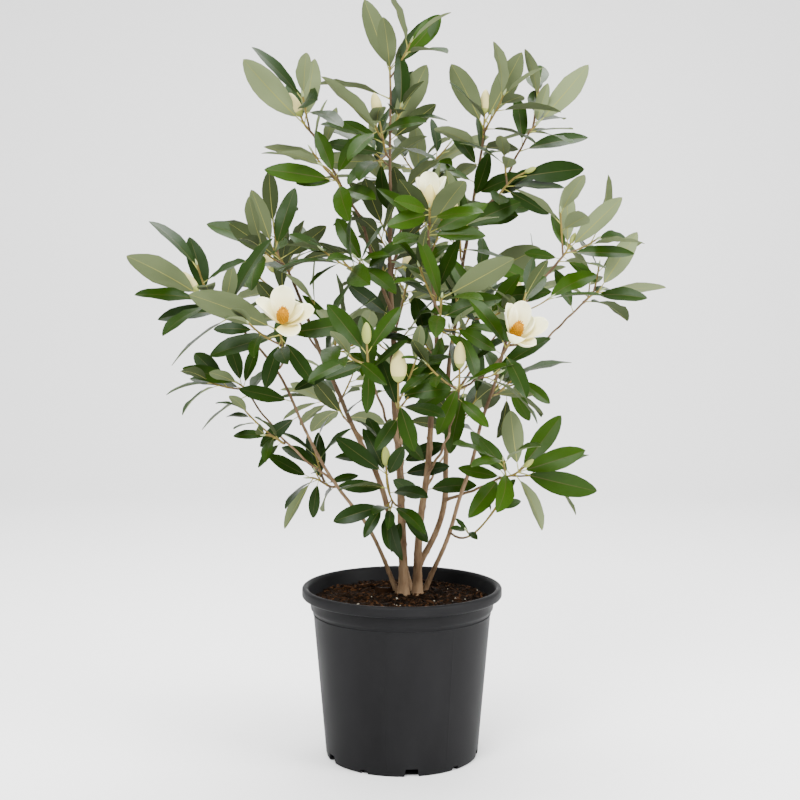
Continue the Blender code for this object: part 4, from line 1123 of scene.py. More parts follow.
def petal_look(colour, foot):
    """Petals that turn darker and creamier towards the foot, by the attribute that runs along each one:
    partly their own cream and partly painted shade in the flower's hollow.
    """
    look = leaf_look("petal", colour, 0.42, 0.55, 180, 0.15, specular=0.08)
    tree = look.node_tree
    along = node(tree, "Attribute", attribute_name="along").outputs["Fac"]
    tint = mixed(tree, ranged(tree, along, 0.02, 0.75), (*foot, 1), (*colour, 1))
    feed(tree, tree.nodes["Principled BSDF"], {"Base Color": tint})
    return look


def shaded(colour, factor):
    return tuple(min(1.0, channel * factor) for channel in colour)


def between(first, last, share):
    return tuple(a + (b - a) * share for a, b in zip(first, last))


# Pot and soil

def arc(centre, radius, first, last, count):
    """Points (radius, height) on a circle in the profile's plane, between two angles in degrees."""
    angle = np.radians(np.linspace(first, last, count))
    return [(centre[0] + radius * math.cos(a), centre[1] + radius * math.sin(a)) for a in angle]


def pot_profile():
    """The pot's outline (radius, height) from the middle of its underside, over the rim, to its floor."""
    lip = POT_HEIGHT - RIM_DEPTH
    slope = (BODY_RADIUS - BASE_RADIUS) / BODY_TOP
    foot = [(0, 0), (BASE_RADIUS - 0.03, 0.0), (BASE_RADIUS - 0.004, 0)]
    foot += arc((BASE_RADIUS - 0.004, 0.004), 0.004, -75, 0, 5)
    body = [(BASE_RADIUS + slope * height, height) for height in np.linspace(0.006, BODY_TOP - 0.006, 24)]
    bead = arc((BODY_RADIUS - 0.0004, BODY_TOP - 0.002), 0.0012, -70, 80, 6)
    collar = [(BODY_RADIUS + 0.0003, BODY_TOP + 0.0015), (COLLAR_RADIUS - 0.0022, COLLAR_FOOT - 0.0015),
              (COLLAR_RADIUS - 0.001, COLLAR_FOOT), (COLLAR_RADIUS - 0.0006, COLLAR_FOOT + 0.004),
              (COLLAR_RADIUS, lip - 0.001), (COLLAR_RADIUS + 0.0006, lip)]
    rim = [(RIM_RADIUS - 0.006, lip)]
    rim += arc((RIM_RADIUS - 0.005, lip + 0.005), 0.005, -80, 0, 6)
    rim += arc((RIM_RADIUS - 0.0055, POT_HEIGHT - 0.0055), 0.0055, 10, 110, 9)
    rim += [(RIM_RADIUS - 0.0095, POT_HEIGHT - 0.0018), (RIM_RADIUS - 0.0112, POT_HEIGHT - 0.004),
            (RIM_RADIUS - 0.012, POT_HEIGHT - 0.008)]
    inner = [(0.1612, lip - 0.004), (0.1595, COLLAR_FOOT), (BODY_RADIUS - WALL, BODY_TOP),
             (BASE_RADIUS - WALL + slope * 0.1, 0.1), (BASE_RADIUS - WALL, WALL)]
    return np.array(foot + body + bead + collar + rim + inner + [(0, WALL)], float)


def pot_angles():
    """Even steps round the pot, with closer ones beside each mould line."""
    even = np.linspace(0, 2 * math.pi, POT_STEPS, endpoint=False)
    close = [line + step for line in MOULD_LINES for step in MOULD_STEPS]
    return np.unique(np.round(np.concatenate([even, np.mod(close, 2 * math.pi)]), 4))


def notch_cutters():
    """The drain notches round the foot, large and small in turn, as one heap of tapered blocks."""
    heap = Heap()
    for k in range(2 * NOTCH_PAIRS):
        width, height = NOTCHES[k % 2]
        angle = NOTCH_FIRST + k * math.pi / NOTCH_PAIRS
        way = np.array([math.cos(angle), math.sin(angle), 0])
        side = np.array([-math.sin(angle), math.cos(angle), 0])
        heap.add([way * reach + side * offset + np.array([0, 0, level])
                  for reach in (BASE_RADIUS - 0.014, BASE_RADIUS + 0.02)
                  for level, half in ((-0.005, width * 0.54), (height, width * 0.42))
                  for offset in (-half, half)], [NOTCH_FACES])
    return heap


def soil_height(x, y):
    """The soil's surface: its edge sinks a little, and seeded plane waves of many lengths roughen it."""
    draw = np.random.default_rng(SOIL_SEED)
    height = SOIL_TOP - 0.004 * np.clip((np.hypot(x, y) - 0.13) / 0.028, 0, 1) ** 2 - 0.0015
    for wavelength, size in SOIL_WAVES:
        for _ in range(6):
            turn, phase = draw.uniform(0, 2 * math.pi, 2)
            run = x * math.cos(turn) + y * math.sin(turn)
            height = height + size * 0.45 * np.sin(run * 2 * math.pi / wavelength + phase)
    return height


def flakes(draw, places, lengths, widths, heights, tilt):
    """Rough six-sided flakes: boxes with jittered corners, turned at random and tilted a little."""
    count = len(places)
    turn = draw.uniform(0, 2 * math.pi, count)
    ahead = units(np.stack([np.cos(turn), np.sin(turn), draw.normal(0, tilt, count)], axis=1))
    side = units(np.cross((0, 0, 1.0), ahead) + draw.normal(0, tilt, (count, 3)) * 0.5)
    side = units(side - ahead * np.sum(side * ahead, axis=1, keepdims=True))
    signs = BOX_SIGNS * (1 + draw.uniform(-0.45, 0.1, (count, 8, 3)))
    points = places[:, None]
    for k, (way, size) in enumerate(((ahead, lengths), (side, widths), (np.cross(ahead, side), heights))):
        points = points + signs[..., k:k + 1] * (way * size[:, None])[:, None] / 2
    faces = (BOX_FACES[None] + np.arange(count)[:, None, None] * 8).reshape(-1, 4)
    return points.reshape(-1, 3), faces


def strewn(draw, count, inset):
    """Places (x, y) dealt evenly over the bed, some way in from its edge."""
    radius = (SOIL_RADIUS - inset) * np.sqrt(draw.uniform(0, 1, count))
    angle = draw.uniform(0, 2 * math.pi, count)
    return radius * np.cos(angle), radius * np.sin(angle)


def scatter(heap, draw, count, lengths, widths, heights, tilt, tints):
    """Flakes strewn evenly over the bed, half sunk in it."""
    x, y = strewn(draw, count, 0.008)
    tall = draw.uniform(*heights, count)
    places = np.stack([x, y, soil_height(x, y) + tall * draw.uniform(0.0, 0.6, count)], axis=1)
    points, faces = flakes(draw, places, draw.uniform(*lengths, count), draw.uniform(*widths, count),
                           tall, tilt)
    heap.add(points, [faces], [np.repeat(draw.choice(tints, count), len(BOX_FACES))])


def add_chunk(heap, draw):
    """The one large piece of bark that lies behind the stems on the left."""
    place = np.array([[-0.032, 0.035, SOIL_TOP + 0.003]])
    size = (np.array([extent]) for extent in (0.034, 0.013, 0.011))
    points, faces = flakes(draw, place, *size, 0.1)
    heap.add(points, [faces], [3])


def add_fibres(heap, draw):
    """Thin strands of bark that lie over the bed in loose curves."""
    stations = np.arange(6)
    start = strewn(draw, FIBRE_COUNT, 0.02)
    turn = draw.uniform(0, 2 * math.pi, FIBRE_COUNT)[:, None]
    turn = turn + draw.normal(0, 0.5, (FIBRE_COUNT, 1)) * stations
    step = draw.uniform(0.002, 0.006, FIBRE_COUNT)[:, None]
    x, y = (from_[:, None] + np.cumsum(run(turn) * step, axis=1)
            for from_, run in zip(start, (np.cos, np.sin)))
    z = soil_height(x, y) + 0.001 + draw.uniform(0, 0.0015, (FIBRE_COUNT, 1)) * np.sin(stations)
    points, blocks = capped_tubes(np.stack([x, y, z], axis=-1), np.full(x.shape, 0.00035), 3)
    tints = draw.choice((1, 2, 4), FIBRE_COUNT)
    heap.add(points, blocks, [np.repeat(tints, 3 * (len(stations) - 1)), np.concatenate([tints, tints])])


# Limbs and leaves

def bark_radii(path, radii, sides, draw, standing):
    """Radii round and along a limb: low ridges that run lengthwise, joints with a ring, and small knobs.

    Each ridge is a wave round the limb whose phase drifts with the distance along it.
    """
    along = distances(path)[:, None]
    angle = np.linspace(0, 2 * math.pi, sides, endpoint=False)[None]
    relief = np.ones((len(path), sides))
    for waves in RIDGES:
        drift = draw.uniform(-30, 30)
        beat = draw.uniform(20, 90)
        ridge = np.sin(waves * angle + drift * along + draw.uniform(0, 6.3))
        relief += 0.028 / waves**0.5 * ridge * np.sin(beat * along + draw.uniform(0, 6.3))
    joint = along[0, 0] + draw.uniform(0.02, 0.05)
    while joint < along[-1, 0]:
        around = draw.uniform(0, 2 * math.pi)
        ring = np.exp(-((along - joint) / 0.0028) ** 2)
        knob = np.exp(-((along - joint - 0.002) / 0.0035) ** 2) * np.exp(2.5 * (np.cos(angle - around) - 1))
        relief += 0.05 * ring + draw.uniform(0.1, 0.32) * knob
        joint += draw.uniform(0.018, 0.05)
    if standing:
        low = np.exp(-(path[:, 2:] - SOIL_TOP) / 0.014)
        relief += np.clip(low, 0, 1.2) * (0.12 * np.cos(3 * angle + draw.uniform(0, 6.3)) + 0.08)
    else:
        relief += 0.3 * np.exp(-np.maximum(along - 0.008, 0) / 0.007)
    return radii[:, None] * relief


def leaf_arcs(leaves, shares, bend, sweep):
    """Points and frames along each leaf's midrib, an arc that bends away from its upper face.

    point = root + size (ahead sin a - face (1 - cos a)) / bend + side sweep share^2, where a = bend share.
    """
    root, ahead, face = (np.array(rows)[:, None] for rows in list(zip(*leaves))[:3])
    size = np.array([leaf.size for leaf in leaves])[:, None, None]
    side = np.cross(ahead, face)
    share = np.broadcast_to(shares, (len(leaves), len(shares)))[..., None]
    angle = bend[:, None, None] * share
    arcs = (ahead * np.sin(angle) - face * (1 - np.cos(angle))) / bend[:, None, None]
    points = root + size * (arcs + side * sweep[:, None, None] * share**2)
    normal = ahead * np.sin(angle) + face * np.cos(angle)
    return points, np.broadcast_to(side, points.shape), normal


def fine_blades(leaves):
    """Points of every leaf's blade: rows along it, four columns across the top and two below.

    The half-width is w(u) = W u^p (1-u)^q, the blade is folded up along its midrib, and its edges
    rise and fall in a wave. The underside lies a leaf's thickness lower and meets the top at the edge.
    """
    draw = np.random.default_rng(LEAF_SEED)
    count = len(leaves)
    size = np.array([leaf.size for leaf in leaves])
    low = np.clip((DROOP_BELOW - np.array([leaf.root[2] for leaf in leaves])) / DROOP_SPAN, 0, 1)
    flat = np.clip(1 - np.array([leaf.ahead[2] for leaf in leaves]) / DROOP_STEEPEST, 0, 1.2)
    limp = np.array([leaf.limp for leaf in leaves])
    bend = LEAF_BEND * limp * (draw.uniform(0.4, 1.3, count) + DROOP * low * flat)
    sweep = draw.normal(0, 0.05, count)
    fold = draw.uniform(0.05, 0.32, count)[:, None]
    twist = draw.normal(0, 0.16, count)[:, None, None]
    half = FINE_HALF_WIDTH * size * draw.uniform(0.88, 1.1, count)
    wave = half * draw.uniform(0.03, 0.14, count)
    waves = draw.uniform(1.3, 2.8, count)
    phase = draw.uniform(0, 2 * math.pi, (2, count))
    u = BLADE_STATIONS
    points, side, normal = leaf_arcs(leaves, PETIOLE + (1 - PETIOLE) * u, bend, sweep)
    turn = twist * u[None, :, None]
    side, normal = side * np.cos(turn) + normal * np.sin(turn), normal * np.cos(turn) - side * np.sin(turn)
    peak = BLADE_BASE_POWER / (BLADE_BASE_POWER + BLADE_TIP_POWER)
    highest = peak**BLADE_BASE_POWER * (1 - peak) ** BLADE_TIP_POWER
    outline = u**BLADE_BASE_POWER * (1 - u) ** BLADE_TIP_POWER / highest
    width = half[:, None] * outline[None] + BLADE_EDGE
    rib = np.minimum((RIB_WIDTH * (1 - 0.8 * u))[None] * (size / USUAL_LEAF)[:, None], width * 0.5)
    columns = []
    for sign, phases in ((-1, phase[0]), (1, phase[1])):
        ripple = (wave * np.sin(2 * math.pi * waves * u[:, None] + phases)).T * np.sin(math.pi * u)
        columns += [(sign * width, fold * width + ripple), (sign * rib, 0 * rib)][::-sign]
    top = np.stack([points + side * off[..., None] + normal * lift[..., None] for off, lift in columns],
                   axis=2)
    under = top[:, :, 1:3] - normal[:, :, None] * BLADE_THICKNESS
    return top, under, bend, sweep


def blade_faces(count, rows):
    """Faces of every blade: the top's quads, the underside's, and a narrow cap at each end."""
    row = np.arange(rows)[:, None]
    top = row * 4 + np.arange(4)
    low = rows * 4 + row * 2 + np.arange(2)
    under = np.hstack([top[:, :1], low, top[:, -1:]])
    quads = [np.stack([grid[:-1, :-1], grid[:-1, 1:], grid[1:, 1:], grid[1:, :-1]], axis=-1).reshape(-1, 4)
             for grid in (top, under)]
    quads[1] = quads[1][:, [0, 3, 2, 1]]
    foot = np.concatenate([under[0], top[0, -2:0:-1]])
    tip = np.concatenate([under[-1], top[-1, -2:0:-1]])[::-1]
    step = np.arange(count)[:, None, None] * rows * 6
    caps = (np.stack([foot, tip])[None] + step).reshape(-1, 6)
    return (quads[0][None] + step).reshape(-1, 4), (quads[1][None] + step).reshape(-1, 4), caps


def dealt_tints(leaves, draw, steps, high=0):
    """A tint for each leaf: each spray has its own, and some of its leaves are a step off.

    high is how many steps lighter the leaves in the upper crown are painted, as painted light.
    """
    sprays = np.array([leaf.spray for leaf in leaves])
    base = draw.integers(0, steps, sprays.max() + 1)[sprays]
    base += high * (np.array([leaf.root[2] for leaf in leaves]) > PAINTED_LIGHT_ABOVE)
    return np.clip(base + draw.choice((-1, 0, 0, 1), len(leaves)), 0, steps - 1)


# Blooms

def bud_surface(kind, foot, axis, turn):
    """A pointed bud: r(u) = R u^0.5 (1-u)^0.62, wrapped by three petals whose edges step outwards."""
    length, half_width = BUDS[kind]
    rows, columns = 16, 24
    u = np.linspace(0.02, 0.995, rows)[:, None]
    angle = np.linspace(0, 2 * math.pi, columns, endpoint=False)[None]
    outline = u**0.5 * (1 - u) ** 0.62
    outline = outline / outline.max()
    wrap = np.mod(3 * (angle + turn) / (2 * math.pi) + 0.9 * u, 1.0)
    radius = half_width * outline * (0.97 + 0.09 * (wrap - 0.5) * np.sin(math.pi * u) ** 0.5)
    points = foot + axis * (u * length)[..., None] + ways_round(axis, angle) * radius[..., None]
    caps = np.stack([np.arange(columns)[::-1], (rows - 1) * columns + np.arange(columns)])
    picks = np.repeat(np.arange(rows - 1) < 3, columns)
    return points, [grid_quads(1, rows, columns, closed=True), caps], picks


def petal_rows():
    """Places along a petal, sin(t pi / 2), which are closer towards its tip."""
    return np.sin(np.linspace(0, math.pi / 2, PETAL_ROWS))


def petal_surface(foot, axis, petal, draw):
    """A spoon-shaped petal: its middle line leaves the axis at a wide angle and curls back towards it.

    The half-width is W v^0.6 (1-v)^0.32, and the sides are lifted towards the axis as the square of
    their distance from the middle line.
    """
    length, half_width = petal.length / 1000, petal.half_width / 1000
    v = petal_rows()
    slant = math.radians(petal.opening) + math.radians(petal.curl) * (0.45 - v)
    out = across(axis, math.radians(petal.turn))
    side = np.cross(axis, out)
    tangent = np.cos(slant)[:, None] * axis + np.sin(slant)[:, None] * out
    inward = np.sin(slant)[:, None] * axis - np.cos(slant)[:, None] * out
    steps = (tangent[:-1] + tangent[1:]) / 2 * length * np.diff(v)[:, None]
    middle = foot + out * 0.0026 + np.vstack([np.zeros(3), np.cumsum(steps, axis=0)])
    outline = v**0.6 * (1 - v) ** 0.32
    width = half_width * outline / outline.max() + 0.0022 * (1 - v)
    c = np.linspace(-1, 1, PETAL_COLUMNS)
    ripple = 0.0009 * np.sin(5 * c + draw.uniform(0, 6.3)) * v[:, None] ** 2
    hollow = (0.5 + 0.5 * np.sin(math.pi * v))[:, None]
    lift = width[:, None] * PETAL_CUP * petal.cup * c[None] ** 2 * hollow + ripple
    points = middle[:, None] + side * (width[:, None] * c)[..., None] + inward[:, None] * lift[..., None]
    return points, [grid_quads(1, PETAL_ROWS, PETAL_COLUMNS, closed=False)]


def add_centre(heap, kind, foot, axis, draw):
    """The cone in the middle of a flower: an egg-shaped core with stamens that lean out round it."""
    widest, height = CENTRE_SIZES[kind]
    u = np.linspace(0.0, 1.0, CENTRE_ROWS)
    path = foot + np.outer(CENTRE_FOOT + u * (height - CENTRE_FOOT), axis)
    core = widest * 0.8 * np.sqrt(np.clip(1 - ((u - 0.45) / 0.58) ** 2, 0.06, 1))
    heap.add(*capped_tubes(path[None], core[None], CENTRE_SIDES))
    level = np.linspace(0.08, 0.92, STAMENS)
    ways = ways_round(axis, np.arange(STAMENS) * SPIRAL)
    start = foot + np.outer(CENTRE_FOOT + level * (height - CENTRE_FOOT) * 0.86, axis)
    start += ways * np.interp(level, u, core)[:, None] * 0.75
    lean = np.linspace(0.8, 0.2, STAMENS)[:, None]
    lengths = draw.uniform(0.6, 0.85, STAMENS)[:, None, None] * widest
    ahead = units(axis * (1.2 - lean) + ways * lean)
    steps = np.linspace(0, 1, len(STAMEN_RADII))[None, :, None]
    paths = start[:, None] + lengths * steps * (ahead[:, None] + axis * steps * 0.5)
    radii = np.broadcast_to(STAMEN_RADII, paths.shape[:2])
    points, blocks = capped_tubes(paths, radii, STAMEN_SIDES)
    heap.add(points, blocks, [np.repeat(level > 0.6, STAMEN_SIDES * (len(STAMEN_RADII) - 1)), 1])


# Sizes and colours that a user may change

def colour(name, description, *default):
    return FloatVectorProperty(name=name, description=description, subtype="COLOR", default=default,
                               min=0, max=1)


def length(name, description, default):
    return FloatProperty(name=name, description=description, default=default, unit="LENGTH")


def number(name, description, default):
    return IntProperty(name=name, description=description, default=default, min=0)


class PotLook(bpy.types.PropertyGroup):
    colour: colour("Colour", "Colour of the moulded plastic", 0.0085, 0.0085, 0.009)
    mould_line: length("Mould line", "Height of the fine lines that the mould left", 0.00035)


class SoilLook(bpy.types.PropertyGroup):
    dark: colour("Dark", "Colour of the wet mix", 0.0042, 0.0023, 0.0011)
    red: colour("Red", "Colour of fresh bark", 0.026, 0.0115, 0.0045)
    chips: number("Chips", "Bark chips on the surface", 2600)
    flecks: number("Flecks", "Pale mineral flecks", 45)


class BarkLook(bpy.types.PropertyGroup):
    light: colour("Light", "Colour of the raised fibres", 0.225, 0.148, 0.084)
    dark: colour("Dark", "Colour between the fibres", 0.075, 0.043, 0.021)
    young: colour("Young", "Colour of this year's twigs", 0.2, 0.15, 0.04)


class LeafLook(bpy.types.PropertyGroup):
    deep: colour("Deep", "Darkest colour of the upper faces", 0.006, 0.018, 0.0008)
    fresh: colour("Fresh", "Lightest colour of the upper faces", 0.017, 0.043, 0.001)
    sage: colour("Sage", "Darkest colour of the undersides", 0.037, 0.05, 0.019)
    pale: colour("Pale", "Lightest colour of the undersides", 0.138, 0.168, 0.08)
    rib: colour("Midrib", "Colour of midribs and leaf stalks", 0.26, 0.26, 0.055)


class BloomLook(bpy.types.PropertyGroup):
    petal: colour("Petal", "Colour of the open petals", 0.93, 0.92, 0.62)
    # The petal foot colour is partly the petals' own cream and partly painted shade in the flower's hollow.
    foot: colour("Petal foot", "Colour of the petals near the flower's middle", 0.66, 0.54, 0.13)
    cream: colour("Cream", "Colour of the buds about to open", 0.5, 0.44, 0.17)
    green: colour("Green", "Colour of the buds still closed", 0.25, 0.28, 0.065)
    centre: colour("Centre", "Colour of the stamens", 0.4, 0.18, 0.0)


class StageLook(bpy.types.PropertyGroup):
    floor: colour("Floor", "Colour of the floor and backdrop", 0.86, 0.86, 0.86)
    distance: length("Distance", "Camera's distance in front of the plant", 2.612)
    height: length("Height", "Camera's height above the floor", 0.868)
    down: FloatProperty(name="Down", description="How far the camera looks down",
                        default=math.radians(5.07), subtype="ANGLE")
    lens: FloatProperty(name="Lens", description="Focal length in millimetres", default=66.9)


# Operators

class MAGNOLIA_OT_stage(bpy.types.Operator):
    """Set up the pale floor, the soft studio light and the camera"""

    bl_idname = "magnolia.stage"
    bl_label = "Stage"

    def execute(self, context):
        look = context.scene.magnolia_stage
        flat = [(y, 0.0) for y in np.linspace(-5, 3, 9)]
        bend = [(3 + 1.2 * math.sin(a), 1.2 - 1.2 * math.cos(a)) for a in np.linspace(0.15, math.pi / 2, 10)]
        sweep = flat + bend + [(4.2, 6.0)]
        points = [(x, y, z) for y, z in sweep for x in (-7, 7)]
        mesh = bpy.data.meshes.new("studio_floor")
        mesh.from_pydata(points, [], grid_quads(1, len(sweep), 2, closed=False).tolist())
        mesh.shade_smooth()
        mesh.materials.append(new_look("studio floor", look.floor, 0.9))
        floor = self.placed("studio_floor", mesh)
        floor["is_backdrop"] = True
        world = context.scene.world or bpy.data.worlds.new("studio")
        context.scene.world = world
        world.use_nodes = True
        feed(world.node_tree, world.node_tree.nodes["Background"],
             {"Color": (1, 1, 1, 1), "Strength": WORLD_STRENGTH})
        for name, (place, size, power) in LIGHTS.items():
            lamp = bpy.data.lights.new(name, "AREA")
            lamp.size = size
            lamp.energy = power
            box = self.placed(name, lamp, place)
            box.rotation_euler = (Vector(LIT_POINT) - Vector(place)).to_track_quat("-Z", "Y").to_euler()
        camera = bpy.data.cameras.new("camera")
        camera.lens = look.lens
        camera.sensor_width = 36
        viewer = self.placed("camera", camera, (CAMERA_ASIDE, -look.distance, look.height))
        viewer.rotation_euler = (math.pi / 2 - look.down, 0, 0)
        context.scene.camera = viewer
        return {"FINISHED"}

    @staticmethod
    def placed(name, data, place=(0, 0, 0)):
        made = bpy.data.objects.new(name, data)
        made.location = place
        bpy.context.scene.collection.objects.link(made)
        return made


class MAGNOLIA_OT_pot(bpy.types.Operator):
    """Build the nursery pot with its rolled rim, bead, mould lines and drain notches"""

    bl_idname = "magnolia.pot"
    bl_label = "Pot"

    def execute(self, context):
        look = context.scene.magnolia_pot
        profile = pot_profile()
        angles = pot_angles()
        rings = turned(profile[1:-1, 0], profile[1:-1, 1:], angles)
        nearest = np.min([np.abs(np.angle(np.exp(1j * (angles - line)))) for line in MOULD_LINES], axis=0)
        proud = look.mould_line * np.exp(-((nearest / 0.005) ** 2))
        on_body = (rings[..., 2] > 0.008) & (rings[..., 2] < BODY_TOP - 0.008)
        on_body &= np.hypot(rings[..., 0], rings[..., 1]) > BASE_RADIUS - 0.001
        rings[..., 0] += on_body * proud * np.cos(angles)
        rings[..., 1] += on_body * proud * np.sin(angles)
        plastic = grained_look("pot plastic", speckle_group(), shaded(look.colour, 1.15),
                               shaded(look.colour, 0.85), 0.12, 0.0004, (0.44, 0.54), specular=0.05)
        shape = pointed_rings(rings, (0, 0, profile[0, 1]), (0, 0, profile[-1, 1]))
        pot = Heap().add(*shape).piece("nursery_pot", [plastic], "pot", POT_SHARP)
        cutter = notch_cutters().piece("notches", [plastic], "pot")
        notch = pot.modifiers.new("notches", "BOOLEAN")
        notch.operation = "DIFFERENCE"
        notch.object = cutter
        context.view_layer.update()
        mesh = bpy.data.meshes.new_from_object(pot.evaluated_get(context.evaluated_depsgraph_get()))
        pot.modifiers.clear()
        pot.data = mesh
        mesh.set_sharp_from_angle(angle=math.radians(POT_SHARP))
        bpy.data.objects.remove(cutter, do_unlink=True)
        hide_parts("pot")
        return {"FINISHED"}


class MAGNOLIA_OT_soil(bpy.types.Operator):
    """Fill the pot with bark mix: its rough bed, chips, fibres and pale flecks"""

    bl_idname = "magnolia.soil"
    bl_label = "Soil"

    def execute(self, context):
        look = context.scene.magnolia_soil
        mixed_bark = grained_look("bark mix", speckle_group(), shaded(look.dark, 1.6),
                                  shaded(look.dark, 0.7), 0.9, 0.002, (0.8, 1.0), specular=0.04)
        angles = np.linspace(0, 2 * math.pi, SOIL_STEPS, endpoint=False)
        walls = turned((0.131, 0.154, SOIL_RADIUS - 0.001), np.array([[0.02], [BODY_TOP], [0.272]]), angles)
        top = turned(np.linspace(SOIL_RADIUS, 0.002, SOIL_ROWS), 0.0, angles)
        top[..., 2] = soil_height(top[..., 0], top[..., 1])
        middle = (0, 0, float(soil_height(0.0, 0.0)))
        shape = pointed_rings(np.concatenate([walls, top]), (0, 0, 0.02), middle)
        bed = Heap().add(*shape).piece("bark_mix_bed", [mixed_bark], "soil", sharp=80)
        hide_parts("soil")
        tones = (look.dark, shaded(look.dark, 2.1), look.red, shaded(look.red, 0.5), shaded(look.red, 1.9),
                 (0.34, 0.31, 0.25))
        tints = [grained_look(f"chip {k}", speckle_group(), shaded(tone, 1.3), shaded(tone, 0.7), 0.6, 0.001,
                              (0.75, 0.95), specular=0.04) for k, tone in enumerate(tones)]
        draw = np.random.default_rng(CHIP_SEED)
        chips = Heap()
        for count, flake in ((look.chips, CHIPS), (look.flecks, FLECKS), (SLAB_COUNT, SLABS)):
            scatter(chips, draw, count, *flake)
        add_chunk(chips, draw)
        add_fibres(chips, draw)
        chips.piece("bark_chips", tints, "soil", sharp=30)
        return {"FINISHED"}


class MAGNOLIA_OT_limbs(bpy.types.Operator):
    """Grow the stems and boughs with the relief of their bark"""

    bl_idname = "magnolia.limbs"
    bl_label = "Stems and Boughs"

    def execute(self, context):
        look = context.scene.magnolia_bark
        limbs = plant().limbs
        looks = [grained_look("old bark", fibre_group(), look.light, look.dark, 0.8, 0.0012),
                 grained_look("upper bark", fibre_group(), shaded(look.light, 0.55), shaded(look.dark, 0.6),
                              0.7, 0.001)]
        for kind, sides in BARK_SIDES.items():
            heap = Heap()
            nodes = [limb for limb in limbs if limb.startswith(kind)]
            for limb in nodes:
                path, radii = limbs[limb]
                draw = np.random.default_rng(len(limb) + sum(map(ord, limb)))
                standing = kind == "stem"
                if standing:
                    path = np.vstack([path[:1] - np.outer(BURIED, (0, 0, 1)), path])
                    radii = np.concatenate([np.full(len(BURIED), radii[0]), radii])
                shape = bark_radii(path, radii, sides, draw, standing)
                points, blocks = capped_tubes(path[None], shape[None], sides)
                heights = (path[:-1, 2] + path[1:, 2]) / 2
                upper = np.repeat(heights > BARK_CHANGE + 0.03 * np.sin(heights * 40), sides)
                heap.add(points, blocks, [upper, 1])
            made = heap.piece(kind + "_bark", looks, "bark")
            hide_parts(*nodes)
        return {"FINISHED"}


class MAGNOLIA_OT_twigs(bpy.types.Operator):
    """Grow the twigs, the leaf buds at their tips and the leaf stalks"""

    bl_idname = "magnolia.twigs"
    bl_label = "Twigs"

    def execute(self, context):
        look = context.scene.magnolia_bark
        rib = context.scene.magnolia_leaf.rib
        _, twigs, leaves, _ = plant()
        looks = [grained_look("twig bark", fibre_group(), shaded(look.light, 0.6), shaded(look.dark, 0.8),
                              0.4, 0.0006),
                 grained_look("young twig", fibre_group(), look.young, shaded(look.young, 0.55), 0.25, 0.0004)]
        silk = leaf_look("silky bud", (0.3, 0.36, 0.17), 0.5, 0.7, 2500, 0.3)
        stalk = leaf_look("leaf stalk", rib, 0.45, 0.6, 900, 0.1)
        self.add_twigs(twigs, looks)
        self.add_buds([twig for twig in twigs if not twig.bloom], silk)
        self.add_stalks(leaves, stalk)
        return {"FINISHED"}

    @staticmethod
    def add_twigs(twigs, looks):
        """Tapering tubes that swell a little at each leaf's joint, old at the foot and young beyond."""
        share = np.linspace(0, 1, FINE_TWIG_STATIONS)
        radii = []
        for twig in twigs:
            joints = np.array(twig.shares or [0.5])[:, None]
            swell = np.exp(-(((share - joints) / 0.045) ** 2)).max(axis=0)
            radii.append((twig.foot + (twig.tip - twig.foot) * share) * (1 + 0.28 * swell))
        sides = 6
        young = np.tile(np.repeat(share[:-1] > 0.3, sides), len(twigs))
        points, blocks = capped_tubes(np.array([twig.fine for twig in twigs]), np.array(radii), sides)
        Heap().add(points, blocks, [young, 1]).piece("twigs", looks, "bark")

    @staticmethod
    def add_buds(twigs, silk):
        """A slim silky bud at each bare tip: tapering tubes whose length and width vary."""
        tips = np.array([twig.fine[-1] for twig in twigs])
        ways = np.array([directions(twig.fine)[-1] for twig in twigs])
        draw = np.random.default_rng(BUD_SEED)
        lengths = draw.uniform(0.009, 0.017, len(twigs))
        steps = np.array((-0.1, 0.1, 0.4, 0.75, 1.0))
        paths = tips[:, None] + ways[:, None] * (lengths[:, None] * steps)[..., None]
        radii = np.array((0.6, 0.95, 1.0, 0.6, 0.08)) * draw.uniform(0.0017, 0.0024, (len(twigs), 1))
        Heap().add(*capped_tubes(paths, radii, 6)).piece("leaf_buds", [silk], "foliage")

    @staticmethod
    def add_stalks(leaves, stalk):
        """A stalk from each twig to the foot of each blade, thicker on a larger leaf."""
        _, _, bend, sweep = fine_blades(leaves)
        paths = leaf_arcs(leaves, PETIOLE * np.array((0.0, 0.4, 0.8, 1.15)), bend, sweep)[0]
        size = np.array([leaf.size for leaf in leaves])[:, None] / USUAL_LEAF
        radii = size * np.array((0.0014, 0.001, 0.00095, 0.0006))
        Heap().add(*capped_tubes(paths, radii, 4)).piece("leaf_stalks", [stalk], "foliage")


